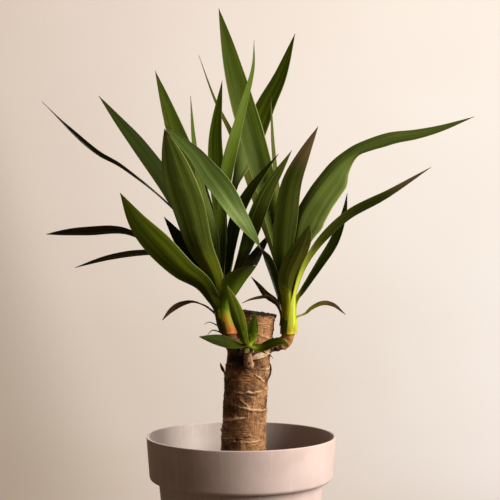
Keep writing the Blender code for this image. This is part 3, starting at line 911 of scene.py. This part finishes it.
def leaf_finish(name, greens, roots):
    """A waxy leaf with veins, margins, a yellow striped root and a dry tip."""
    made, tree, shader = finish_tree(name)
    place = carried(tree, "leaf_place", "Vector")
    parts = add(tree, "SeparateXYZ", {0: place})
    across, along = parts.outputs[0], parts.outputs[1]
    edge = maths(tree, "ABSOLUTE", across)
    bands = grain(tree, place, (3.2, 0.9, 7.3), 2.0)
    veins = grain(tree, place, (17, 1.4, 7.3), 3.0)
    threads = grain(tree, place, (52, 5, 7.3), 3.0, 0.65)
    patches = grain(tree, place, (1.3, 6, 3.1), 4.0)
    color = layered(tree, greens.deep, (
        (bands, 0.3, 0.7, 1.0, greens.light),
        (veins, 0.5, 0.7, 0.3, greens.light),
        (veins, 0.45, 0.3, 0.4, greens.deep),
        (threads, 0.55, 0.75, 0.14, greens.margin),
        (edge, 0.1, 0.0, 0.3, greens.light),
        (patches, 0.55, 0.75, 0.5, greens.deep),
        (patches, 0.4, 0.28, 0.3, greens.light),
    ))
    wander = maths(tree, "MULTIPLY", maths(tree, "SUBTRACT", patches), 0.06)
    rooted = maths(tree, "SUBTRACT", carried(tree, "from_root"), wander)
    youth = between(tree, rooted, roots.reach, roots.reach * 0.35)
    color = mixed(tree, youth, color, roots.young)
    stripes = maths(tree, "MULTIPLY", youth, between(tree, bands, 0.54, 0.42, 0.0, 0.55))
    color = mixed(tree, stripes, color, greens.light)
    late = maths(tree, "ADD", along, maths(tree, "MULTIPLY", edge, 0.012))
    color = layered(tree, color, (
        (rooted, roots.foot_reach, roots.foot_reach * 0.5, 1.0, roots.foot),
        (edge, 0.92, 0.98, 0.6, greens.margin),
        (late, greens.dry, greens.dry * 0.4 + 0.6, 1.0, greens.tip),
    ))
    wax = between(tree, patches, 0.35, 0.7, greens.shine - 0.07, greens.shine + 0.1)
    coat(tree, shader, color, wax, 0.2)
    shader.inputs["Specular Tint"].default_value = LEAF_GLOSS
    coarse = relief(tree, shader, veins, 0.35 * MM, 0.6)
    relief(tree, shader, threads, 0.12 * MM, 0.6, coarse)
    return made


# %% [markdown]
# The leaves differ in age and so in colour. New ones in the middle are bright and yellow green, grown ones
# deep green, some have a grey bloom, and the lowest are turning olive and brown. Leaves of the right shoot
# are bright yellow at the root. Two of the dark greens are given to leaves that lie in shade and stand for
# it, as painted shade, and one paler green stands for the shine on a leaf, as a painted sheen.

# %% Leaf colours
LEAF_COLOURS = {
    "bright": Greens((42, 54, 0), (60, 73, 0), shine=0.5),
    "young": Greens((60, 78, 6), (88, 106, 24)),
    "grown": Greens((36, 46, 1), (64, 78, 4)),
    "vivid": Greens((46, 54, 3), (76, 88, 6), dry=0.96),
    # This darkest green is given to leaves that lie in shade: painted shade.
    "deep": Greens((20, 28, 2), (38, 48, 5), (90, 96, 40), shine=0.5),
    # This green is darker for leaves that lie in shade: painted shade.
    "shaded": Greens((38, 50, 3), (66, 82, 10), (120, 128, 50), dry=0.96, shine=0.46),
    "striped": Greens((44, 54, 6), (112, 126, 44), (130, 138, 70), shine=0.44),
    "bloom": Greens((50, 66, 20), (86, 104, 46), (140, 150, 96), shine=0.42),
    "fresh": Greens((66, 80, 6), (124, 140, 40), (140, 150, 70), shine=0.44),
    # This paler green stands for the shine on a leaf: a painted sheen.
    "sheen": Greens((58, 68, 14), (98, 112, 44), dry=0.96, shine=0.46),
    "olive": Greens((44, 46, 5), (70, 72, 14), (130, 126, 60), dry=0.96, shine=0.5),
    "golden": Greens((54, 66, 14), (92, 106, 44), shine=0.46),
    "browning": Greens((34, 42, 3), (58, 66, 6), (120, 108, 60), (84, 66, 42), 0.72, 0.5),
    "old": Greens((28, 26, 4), (52, 52, 10), (84, 80, 36), (52, 32, 20), 0.8, 0.5),
    "dusty": Greens((92, 80, 60), (146, 132, 104), (56, 42, 28), (50, 34, 22), 0.8, 0.6),
    "withered": Greens((92, 80, 24), (136, 124, 44), (110, 84, 54), (54, 32, 20), 0.5, 0.6),
}
ROOT_COLOURS = {
    "left_rosette": Roots((176, 96, 44), 17 * MM, (140, 140, 20), 30 * MM, 1.9),
    "left_long": Roots((176, 96, 44), 17 * MM, (160, 172, 24), 110 * MM, 1.9),
    # This root is darker and greener: partly the leaves' own colour and partly painted shade, for leaves
    # that wrap the side of the stem away from the lamp.
    "left_outer": Roots((84, 66, 18), 14 * MM, (62, 66, 6), 44 * MM, 1.0),
    "right_rosette": Roots((176, 156, 34), 9 * MM, (184, 190, 36), 60 * MM, 1.9),
    "right_long": Roots((186, 170, 40), 9 * MM, (188, 196, 58), 120 * MM, 1.9),
    # This root is darker and greener: partly the leaves' own colour and partly painted shade, for leaves
    # that wrap the side of the stem away from the lamp.
    "right_outer": Roots((74, 76, 14), 10 * MM, (56, 68, 8), 44 * MM, 0.85),
    "front_shoot": Roots((176, 150, 96), 6 * MM, (130, 150, 14), 26 * MM, 1.9),
}
leaf_finishes = {}


def finish_for(colour, root):
    """The finish of a leaf of one colour with one kind of root, made when it is first needed."""
    key = colour + "_" + root
    if key not in leaf_finishes:
        leaf_finishes[key] = leaf_finish(key, LEAF_COLOURS[colour], ROOT_COLOURS[root])
    return leaf_finishes[key]


# %% [markdown]
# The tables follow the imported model's leaves to within a few millimetres, so that every fine leaf lies
# where its plain one does. A route is a list of places in millimetres. The rolls turn the blade about
# it, in degrees, and the factors called right make that side of the blade narrower or wider, as where a
# real leaf curls. A root names the colours of its foot where they aren't those of its shoot. The left
# shoot comes first, the fullest of the three.

# %% Leaves of the left shoot
LEAF_FIELDS = "name height route width roll colour widest taper right neck root fold"
Leaf = namedtuple("Leaf", LEAF_FIELDS, defaults=(0.54, TAPER_POWER, (1, 1), NECK_SHARE, "", 1.0))
Stem = namedtuple("Stem", "node axis radii opening")
LEFT_STEM = Stem(
    "left_rosette",
    ((-14, -28, 320), (-17, -28, 330), (-21, -28, 346), (-24, -27, 362), (-26, -26, 378)),
    (8.2, 9, 8.8, 7.4, 3.0), 4.2,
)
LEFT_LEAVES = (
    Leaf("broad_front_left", 327,
         ((-41, -46, 374), (-65, -60, 393.5), (-89, -74, 418.5), (-111.5, -88, 445), (-130, -100, 477)),
         30, (20, 50, 60, 60), "vivid", 0.62, root="left_outer"),
    Leaf("low_left", 334,
         ((-63, -20, 386), (-93, -14, 412), (-135, -6, 435.4), (-182, 4, 436), (-229, 12, 434)),
         23, (0, 15, 28, 22), "old", 0.78, 2.2, (1, 0.7, 0.6, 0.6, 0.8, 1), root="left_outer"),
    Leaf("lowest_left", 329,
         ((-56, -30, 385), (-76, -31, 402), (-103, -32, 411.4), (-147, -32, 407), (-189, -32, 395.4)),
         19, (0, 10, 20, 18), "old", 0.64, 2.4, root="left_outer"),
    Leaf("long_left", 336,
         ((-42, -22, 419), (-87, -18, 470.5), (-134.5, -15, 507.8), (-165.5, -13, 526), (-199, -11, 555.8),
          (-230, -10, 586.8)),
         18, (0, 5, 5, 26, 10), "deep", 0.62, 2.6, (1, 1, 1, 0.9, 0.4, 0.4, 1.3, 1.6)),
    Leaf("upper_left", 340,
         ((-51, -12, 423), (-81, 2, 480), (-120, 14, 536.4), (-169, 26, 598)),
         31, (-10, -25, -25), "deep", 0.54, 2.1),
    Leaf("broad_front", 338,
         ((-31, -42, 385), (-46, -52, 419), (-56.5, -66, 459), (-70, -84, 501), (-82, -102, 546)),
         36, (0, 20, 42, 42, 38), "sheen", 0.64, 2.2, root="left_long"),
    Leaf("tall_left", 346,
         ((-33, -4, 423), (-55, 20, 488), (-80.5, 42, 561), (-105, 60, 633)),
         30, (0, -20, -30), "grown"),
    Leaf("thin_left", 344,
         ((-33, -26, 437), (-47, -25, 491), (-54.5, -23, 543), (-58, -20, 592)),
         14, (0, -20, -20), "grown", 0.5, neck=0.2),
    Leaf("dark_back", 350,
         ((-21, -8, 423), (-27.5, 16, 488), (-31, 37, 551), (-23.5, 56, 621)),
         19, (0, -10), "grown", 0.6, neck=0.2),
    Leaf("light_middle", 352,
         ((-20, -24, 417), (-22, -20, 460), (-15, -13, 515), (-1, -6, 571), (13, 0, 624), (15, 4, 660)),
         15, (0, 40, 70, 70), "young", 0.55, 1.2, neck=0.25),
    Leaf("tall_back", 350,
         ((-11, 4, 417), (-10, 38, 482), (1.5, 74, 525), (28.5, 110, 593), (49, 126, 637), (68, 140, 693)),
         28, (75, 80, 85, 82, 50, 20, 15, 15), "grown", 0.64,
         right=(1, 1, 0.5, 0.2, 0.3, 0.8, 1, 1, 1, 1, 1), neck=0.25),
    Leaf("dark_right", 346,
         ((-12, -16, 408), (-4, -2, 453), (11, 8, 485), (29, 15, 510), (44, 20, 529)),
         22, (0, 10, 10), "shaded", neck=0.25),
    Leaf("striped_right", 344,
         ((1, -20, 403), (9.5, -15, 427), (20, -9, 459), (30, -3, 483), (44, 3, 507), (59, 8, 532)),
         21, (10, 40, 45), "striped", 0.56, neck=0.25),
    Leaf("dark_left", 336,
         ((-39, -16, 379), (-55, -4, 404), (-75, 8, 432), (-91, 16, 454.5)),
         24, (0, -30, -35), "deep", root="left_outer"),
    Leaf("blunt_front", 332,
         ((-12, -42, 365), (-2, -58, 384), (8, -80, 396), (13.5, -96, 398)),
         28, (0, 4, 8), "young", 0.62, 2.4, (0.9, 1, 1.25, 1.34, 1.16, 0.9)),
    Leaf("inner_tip", 344,
         ((-19, -37, 374), (-23, -41, 393)),
         12, (0, 0), "grown"),
    Leaf("low_right_back", 340,
         ((6, 2, 389), (18, 28, 410), (36, 56, 438)),
         20, (0, 0), "deep"),
)

# %% [markdown]
# The right shoot has one leaf that crosses in front of the left shoot, and a long one that bends over
# to the right and turns its underside out.

# %% Leaves of the right shoot
RIGHT_STEM = Stem(
    "right_rosette",
    ((54.5, -8, 318), (55, -8, 330), (55.5, -8, 346), (56, -8, 362), (56.5, -8, 380)),
    (7.8, 8, 8, 7.2, 3.0), 4.2,
)
RIGHT_LEAVES = (
    Leaf("crossing_front", 325,
         ((38, -16, 381), (28, -29, 407), (17.5, -42, 423.5), (-4.3, -53, 457), (-19.5, -62, 481.5),
          (-35, -71, 503), (-51.2, -80, 525), (-82.5, -96, 551.5)),
         26, (10, 10, 10, 0, -42, -73, -94, -108, -108, -108, -108), "bloom", 0.7, 2.3,
         (1, 1, 1, 0.95, 0.9, 0.9, 1, 0.9, 0.61, 0.38, 0.3), root="right_outer"),
    Leaf("tallest", 352,
         ((43, 14, 417), (31, 30, 476), (12.5, 50, 550), (-5, 66, 615), (-28.5, 88, 714.5)),
         33, (0, -14, -22, -30), "bright", 0.54, 2.1),
    Leaf("thin_upright", 350,
         ((47, 14, 429), (42, 26, 488), (37.5, 36, 542), (35, 42, 602)),
         8, (0, 20, 20), "olive"),
    Leaf("grey_back", 348,
         ((36, 34, 429), (11, 92, 501), (-12.5, 118, 560), (-35, 134, 608), (-56, 150, 667)),
         20, (-15, -10, 10, 30), "olive", 0.35, 1.25),
    Leaf("upright_front", 342,
         ((49, -24, 403), (52, -38, 451), (57.5, -48, 490), (70, -56, 521), (86, -62, 553)),
         29, (0, -10, -10), "browning", 0.48, 2.0),
    Leaf("long_right", 340,
         ((62, 6, 412), (70, 16, 452), (85.5, 20, 478.5), (103.5, 26, 502), (115.5, 29, 515.5),
          (130.5, 32, 527.5), (145, 33, 536), (177, 34, 548.2), (209, 34, 553.4), (240, 33, 561.1),
          (277, 30, 574)),
         20, (20, 40, 60, 75, 80, 80, 80, 80, 80), "golden", 0.45, 2.4,
         (1, 1, 1, 1.2, 1.6, 2.4, 3.1, 2.9, 2.6, 2.5, 2.3, 1.3, 0.5, 0.6) + (0.85,) * 7,
         fold=-2.4),
    Leaf("lower_right", 334,
         ((65, -14, 372), (76, -20, 399), (95.5, -24, 427.5), (126, -26, 456.2), (168, -25, 479),
          (218, -20, 510.6)),
         24.5, (0, -20, -27, -27), "browning", 0.5, 1.8, root="right_long"),
    Leaf("dark_right", 336,
         ((75.5, 10, 371), (92, 20, 395.5), (110, 32, 424), (122.5, 42, 457), (127.5, 50, 484)),
         15.5, (0, 20), "shaded"),
    Leaf("blunt_front", 338,
         ((54, -28, 383), (63.5, -44, 409), (70.5, -62, 427), (75, -84, 443)),
         29, (0, 12, 22), "olive", 0.6),
    Leaf("thin_left", 326,
         ((42, 1, 352), (28.5, -3, 363.5), (20.5, -5, 374), (11.5, -8, 384.5)),
         12, (0, 40, 40), "dusty"),
    Leaf("withered_right", 322,
         ((72, -2, 337.5), (82, -2, 347.5), (95, -3, 353.5), (108, -4, 351), (121, -5, 340.5)),
         9, (0, 25, 35), "withered", 0.7),
)

# %% [markdown]
# The front shoot is the youngest: four short leaves and a withered scrap on a small peg.

# %% Leaves of the front shoot
FRONT_STEM = Stem(
    "front_shoot",
    ((8, -34, 299), (8, -34.5, 303), (8, -35, 308), (8, -35, 313)),
    (4.6, 4.6, 3.6, 1.6), 2.4,
)
FRONT_LEAVES = (
    Leaf("up_left", 300,
         ((4, -44, 312), (-2, -54, 336), (-8, -61, 356), (-16, -68, 378)),
         15, (0, 30, 34), "fresh"),
    Leaf("flat_left", 300,
         ((-5, -44, 308), (-25, -58, 314), (-46, -68, 319.5)),
         20, (-20, -42, -46), "deep", root="left_outer"),
    Leaf("right", 300,
         ((22, -42, 304), (36, -48, 310.5), (46, -53, 312.5), (53, -57, 309)),
         15, (20, 50, 50), "vivid"),
    Leaf("upright", 301,
         ((13, -38, 320), (16, -41, 344)),
         13, (-35, -40), "shaded"),
    Leaf("small_right", 299.5,
         ((21, -42, 302), (29, -47, 299)),
         5, (0, 20), "withered"),
)

# %% [markdown]
# A leaf starts inside its stem, runs up within the sheath of the older leaves, and only then follows
# its own route. So two places go before each route: one in the stem and one in the sheath.

# %% Leaf routes
ROOT_OFFSET = 0.2
SHEATH_RISE = 1.4
SHEATH_OFFSET = 0.6


def stem_place(stem, height):
    """The place on a stem's axis at a height, both in millimetres."""
    for low, high in zip(stem.axis, stem.axis[1:]):
        if height <= high[2]:
            return Vector(low).lerp(Vector(high), (height - low[2]) / (high[2] - low[2]))
    return Vector(stem.axis[-1])


def leaf_points(stem, leaf):
    """The whole route of a leaf in metres: its root in the stem, its sheath along it, its blade."""
    root = stem_place(stem, leaf.height)
    heading = Vector(leaf.route[0]) - root
    heading.z = 0
    heading.normalize()
    reach = max(stem.radii)
    sheath = stem_place(stem, leaf.height + SHEATH_RISE * reach)
    points = [root + heading * ROOT_OFFSET * reach, sheath + heading * SHEATH_OFFSET * reach]
    return in_metres(points + [Vector(place) for place in leaf.route])


# %% [markdown]
# At its root a leaf is not a flat blade: it is a sheath that wraps part of the stem, and older leaves
# wrap the younger ones. So the first rows of each leaf lie on the stem as part of a tube, and over a
# few centimetres they open into the blade.

# %% Leaves
CLASP_START = 0.8
SHEATH_LIFT = 0.045
SHEATH_GAP = 0.3
SHEATH_TOP = 36
SHEATH_HALF = 0.4
CLASP_SHARE = 0.8
CORE_SHARE = 0.35


def wrapped(stem, leaf, points, rows):
    """The rows of a leaf with its first ones laid round its stem, and their heights above its foot."""
    reach = max(stem.radii)
    outward = points[-1] - points[0]
    heading = math.atan2(outward.y, outward.x)
    angle = min(ROOT_COLOURS[leaf.root or stem.node].clasp, CLASP_SHARE * leaf.width / reach)
    bottom, top = stem.axis[0][2], stem.axis[-1][2]
    lift = SHEATH_GAP + SHEATH_LIFT * (bottom + SHEATH_TOP - leaf.height)
    made = []
    for share, distance, above, below in rows:
        rise = distance / MM
        open_share = min(max((rise / reach - CLASP_START) / (stem.opening - CLASP_START), 0), 1)
        height = leaf.height + rise - (leaf.height - bottom - 0.5) * (1 - open_share)
        open_share = open_share * open_share * (3 - 2 * open_share)
        core = CORE_SHARE * reach
        radius = max(eased(stem.radii, (height - bottom) / (top - bottom)), core) + lift
        center = stem_place(stem, height)
        center.z = height
        for side, thick in ((above, -SHEATH_HALF), (below, SHEATH_HALF)):
            for index, u in enumerate(ACROSS):
                turn = heading - u * angle
                edge = thick * (1 - abs(u) ** 4)
                around = center + Vector((math.cos(turn), math.sin(turn), 0)) * (radius + edge)
                side[index] = (around * MM).lerp(side[index], open_share)
        made.append((share, (height - bottom) * MM, above, below))
    return made


number = 0
for stem, leaves in ((LEFT_STEM, LEFT_LEAVES), (RIGHT_STEM, RIGHT_LEAVES), (FRONT_STEM, FRONT_LEAVES)):
    for leaf in leaves:
        number += 1
        points = leaf_points(stem, leaf)
        rows = wrapped(stem, leaf, points, blade_rows(points, leaf, number))
        finish = finish_for(leaf.colour, leaf.root or stem.node)
        piece = blade(stem.node + "_" + leaf.name, rows, number, finish)
        stand_in(piece, stem.node)
print("leaves:", number, "finishes:", len(leaf_finishes))

# %% [markdown]
# Under the leaves each shoot has a short stem, made of the roots of its leaves pressed together. The
# left one is swollen and orange, the right one bright yellow and the front one tan. Faint upright ribs
# and level rings show where the sheaths end.

# %% Stems
Stalk = namedtuple("Stalk", "low middle high")
STALK_COLOURS = {
    "left_rosette": Stalk((204, 120, 58), (190, 160, 50), (120, 130, 20)),
    "right_rosette": Stalk((200, 170, 30), (196, 196, 40), (120, 138, 24)),
    "front_shoot": Stalk((176, 146, 92), (150, 154, 50), (110, 132, 24)),
}
STEM_SIDES = 72
STEM_ROW = 1.2 * MM
STEM_RING_PITCH = 7


def stalk_finish(name, stalk, height):
    """Pressed leaf roots, from the woody colour at the foot to green where the leaves part."""
    made, tree, shader = finish_tree(name)
    place = object_place(tree)
    ribs = grain(tree, place, (420, 420, 24), 3.0)
    blotch = grain(tree, place, (150, 150, 90), 4.0, 0.65)
    wander = maths(tree, "MULTIPLY", maths(tree, "SUBTRACT", blotch), 0.03)
    rise = maths(tree, "ADD", carried(tree, "from_root"), wander)
    color = layered(tree, stalk.low, (
        (rise, height * 0.04, height * 0.25, 1.0, stalk.middle),
        (rise, height * 0.4, height * 0.9, 1.0, stalk.high),
        (ribs, 0.5, 0.36, 0.45, (86, 64, 20)),
    ))
    coat(tree, shader, color, between(tree, blotch, 0.3, 0.7, 0.36, 0.52))
    relief(tree, shader, ribs, 0.7 * MM, 0.7)
    return made


def stem_bulge(place, share, along):
    """Soft upright ribs and level sheath ends on a stem."""
    rib = noise.noise(Vector((place.x / 2.2, place.y / 2.2, place.z / 30)))
    ring = bell((along + 1.5 * noise.noise(place / 12)) / STEM_RING_PITCH % 1, 0.5, 0.12)
    return (0.5 * rib + 0.25 * ring - 0.2) * min(1.0, share * 12)


for stem in (LEFT_STEM, RIGHT_STEM, FRONT_STEM):
    height = (stem.axis[-1][2] - stem.axis[0][2]) * MM
    verts, rows = tube_rings(in_metres(stem.axis), stem.radii, STEM_ROW, STEM_SIDES, stem_bulge)
    faces = closed_skin(rows, STEM_SIDES)
    rises = [index // STEM_SIDES / rows * height for index in range(len(verts))]
    finish = stalk_finish(stem.node + "_stalk", STALK_COLOURS[stem.node], height)
    piece = piece_from(stem.node + "_stem", verts, faces, [finish], {"from_root": rises})
    stand_in(piece, stem.node)
    print(piece.name, "rows:", rows)

# %% [markdown]
# Dead leaves stay on the plant for months. They shrink to narrow brown strips, curl over and wrinkle
# along their length. They are made with the same blade as the green ones, with a dry finish.

# %% Dried finish
def dried(name, dark, light):
    """A dry dead leaf: dull brown with dark lengthwise wrinkles."""
    made, tree, shader = finish_tree(name)
    place = carried(tree, "leaf_place", "Vector")
    wrinkles = grain(tree, place, (9, 3, 5.1), 4.0, 0.65)
    blotch = grain(tree, place, (1.2, 7, 2.3), 3.0)
    color = layered(tree, dark, (
        (wrinkles, 0.36, 0.66, 1.0, light),
        (blotch, 0.45, 0.7, 0.7, dark),
    ))
    coat(tree, shader, color, 0.7, 0.3)
    relief(tree, shader, wrinkles, 0.8 * MM, 0.9)
    return made


brown_leaf = dried("brown_dried_leaf", (62, 44, 28), (132, 106, 76))
pale_sheath = dried("pale_dried_sheath", (150, 118, 84), (226, 204, 170))

# %% [markdown]
# The two long dead leaves hang in arcs, one left of the cane and one between the shoots. The two short
# scales under the left shoot are all that is left of its oldest leaves.

# %% Dried leaves
STRIP_FIELDS = "name node route width roll widest taper right neck fold finish"
Strip = namedtuple("Strip", STRIP_FIELDS, defaults=(0.4, TAPER_POWER, (1, 1), NECK_SHARE, 1.0, brown_leaf))
STRIPS = (
    Strip("left_dried_leaf", "left_dried_leaves",
          ((-22, -27, 330), (-29, -25, 341), (-36, -22, 347.5), (-44, -21, 352.5),
           (-55, -21, 355.5), (-68.5, -21, 353), (-80.3, -21, 346), (-90.3, -21, 335)),
          11, (0, 0, 30, 30), 0.72),
    Strip("left_dried_scale_upper", "left_dried_leaves",
          ((-22, -26, 326), (-35, -27, 333), (-42, -28, 331)), 5, (0, 0)),
    Strip("left_dried_scale_lower", "left_dried_leaves",
          ((-20, -27, 320), (-32, -28, 324), (-38, -28, 319)), 5, (0, 0)),
    Strip("right_dried_strip", "right_dried_leaf",
          ((44.6, -11, 328), (45.5, -11, 340), (41, -12, 351.5), (34, -13, 358), (28.5, -14, 361.3),
           (19.4, -15, 360.4), (10.2, -17, 358.4), (1, -18, 354.4)),
          8, (0, 20, 35, 35), 0.5),
)


def dry_piece(strip, number):
    """A dried blade along a strip's route."""
    return blade(strip.name, blade_rows(in_metres(strip.route), strip, number), number, strip.finish)


for number, strip in enumerate(STRIPS, number + 1):
    stand_in(dry_piece(strip, number), strip.node)

# %% [markdown]
# Small dark bracts, a loose thread and one torn flap of old sheath stand off the bark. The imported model
# has no plain piece that they could stand for, so they only ride with the plant.

# %% Bracts and threads on the cane
BRACTS = (
    Strip("left_bract", None, ((-19, -4, 272), (-22, -5, 278), (-24.5, -5, 285)), 4, (60, 60)),
    Strip("right_bract", None, ((28, -12, 296), (33, -12, 295), (37, -12, 290)), 3.5, (0, 0)),
    Strip("right_thread", None, ((31, -8, 286), (34, -8, 282), (33.5, -9, 272), (30, -11, 263)), 2.6,
          (0, 0)),
    Strip("torn_sheath", None, ((10, -29, 291), (19, -28, 294), (27, -24, 296), (34, -18, 297)), 7,
          (60, 60), finish=pale_sheath),
)
for number, bract in enumerate(BRACTS, number + 1):
    piece = dry_piece(bract, number)
    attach(piece, "root")
print("dried pieces:", len(STRIPS) + len(BRACTS))

# %% [markdown]
# The studio is a wide round sweep: a pale floor that curves up into a wall on every side, so that the plant
# has a quiet background from any angle. Its paint carries a painted shade that makes it a little darker low
# on the left. It is lit by lamps of its own, through light linking, so that its soft gradient and the light
# on the plant can be set apart.

# %% Studio sweep
FLOOR_REACH = 1.0
SWEEP_ROUND = 2.0
WALL_TOP = 4.0
COVE_STEPS = 24
SWEEP_TURNS = 128
# The direction in which the wall's painted shade deepens.
LOW_LEFT = (-1.0, -0.2, -0.3)


def wall_paint_and_shade(name):
    """Plain warm paint with a very faint unevenness, and a painted shade that makes it a little darker low
    on the left.
    """
    made, tree, shader = finish_tree(name)
    place = object_place(tree)
    cloud = grain(tree, place, (0.9, 0.9, 0.9), 2.0)
    # A painted shade: the paint darkens towards the low left, where the light falls off.
    left = add(tree, "VectorMath", {0: place, 1: LOW_LEFT}, operation="DOT_PRODUCT").outputs["Value"]
    color = layered(tree, (247, 234, 222), (
        (cloud, 0.3, 0.7, 1.0, (244, 230, 217)),
        (left, 0.0, 0.3, 1.0, (214, 201, 187)),
    ))
    coat(tree, shader, color, 0.95, 0.0)
    return made


cove = arc((FLOOR_REACH, SWEEP_ROUND), SWEEP_ROUND, -90, 0, COVE_STEPS)
sweep_outline = [(0, 0), *cove, (FLOOR_REACH + SWEEP_ROUND, WALL_TOP)]
sweep = turned("sweep", sweep_outline, SWEEP_TURNS, [wall_paint_and_shade("wall")])
sweep.visible_diffuse = False
sweep.visible_glossy = False
sweep.visible_shadow = False

# %% [markdown]
# One large soft lamp stands nearly square to the right of the plant and a little above it. It leaves
# the left side of the planter and the trunk dark, as a window would. A dim warm surround fills those
# shadows, and a weak lamp behind the plant shows its back. These two lamps leave the sweep out, and
# six more lamps light only the sweep.

# %% Lights
SURROUND_COLOR = (1.0, 0.72, 0.5, 1.0)
SURROUND_STRENGTH = 0.11

sweep_only = bpy.data.collections.new("sweep_only")
sweep_only.objects.link(sweep)
all_but_sweep = bpy.data.collections.new("all_but_sweep")
all_but_sweep.objects.link(sweep)
all_but_sweep.collection_objects[0].light_linking.link_state = "EXCLUDE"


def lamp(data, place, target, watts, color, receivers):
    """A soft lamp of one kind that points at a target and lights a collection."""
    data.energy = watts
    data.color = color
    made = bpy.data.objects.new(data.name, data)
    made.location = place
    made.rotation_euler = (Vector(target) - Vector(place)).to_track_quat("-Z", "Y").to_euler()
    bpy.context.scene.collection.objects.link(made)
    made.visible_camera = False
    made.light_linking.receiver_collection = receivers


def disk(name, size):
    """A round lamp face of a width in metres."""
    data = bpy.data.lights.new(name, "AREA")
    data.shape = "DISK"
    data.size = size
    return data


def spot(name, angle):
    """A round spot with a soft edge."""
    data = bpy.data.lights.new(name, "SPOT")
    data.shadow_soft_size = 0.3
    data.spot_size = math.radians(angle)
    data.spot_blend = 1.0
    return data


lamp(disk("window", 1.7), (1.85, -0.6, 1.2), (0, 0, 0.35), 104, (1.0, 0.95, 0.88), all_but_sweep)
lamp(spot("low_wall", 100), (1.15, 0.95, 2.5), (0.9, 2.3, 0.25), 15.5, (0.44, 1.0, 1.0), sweep_only)
lamp(spot("high_wall", 70), (0.3, 1.4, 3.4), (0.05, 3.0, 1.5), 68, (0.72, 0.83, 1.0), sweep_only)
lamp(disk("right_wall", 0.8), (2.2, 0.4, 1.6), (0.9, 2.0, 0.6), 87, (0.61, 0.76, 1.0), sweep_only)
lamp(disk("back_wall", 1.4), (0.4, 0.6, 3.2), (0.4, 2.2, 0.6), 39, (1.0, 0.69, 0.25), sweep_only)
lamp(spot("front_wall", 120), (0.0, -0.9, 3.2), (0.0, -2.9, 0.9), 260, (0.9, 0.92, 1.0), sweep_only)
lamp(spot("side_wall", 90), (-0.4, -1.4, 3.0), (2.9, -1.2, 1.8), 200, (0.9, 0.92, 1.0), sweep_only)
lamp(disk("back_fill", 1.6), (-0.5, 2.0, 0.7), (0.0, 0.0, 0.4), 18, (1.0, 0.93, 0.85), all_but_sweep)

world = bpy.data.worlds.new("surround")
world.use_nodes = True
background = world.node_tree.nodes["Background"]
background.inputs["Color"].default_value = SURROUND_COLOR
background.inputs["Strength"].default_value = SURROUND_STRENGTH
bpy.context.scene.world = world
bpy.context.scene.view_settings.view_transform = "Standard"
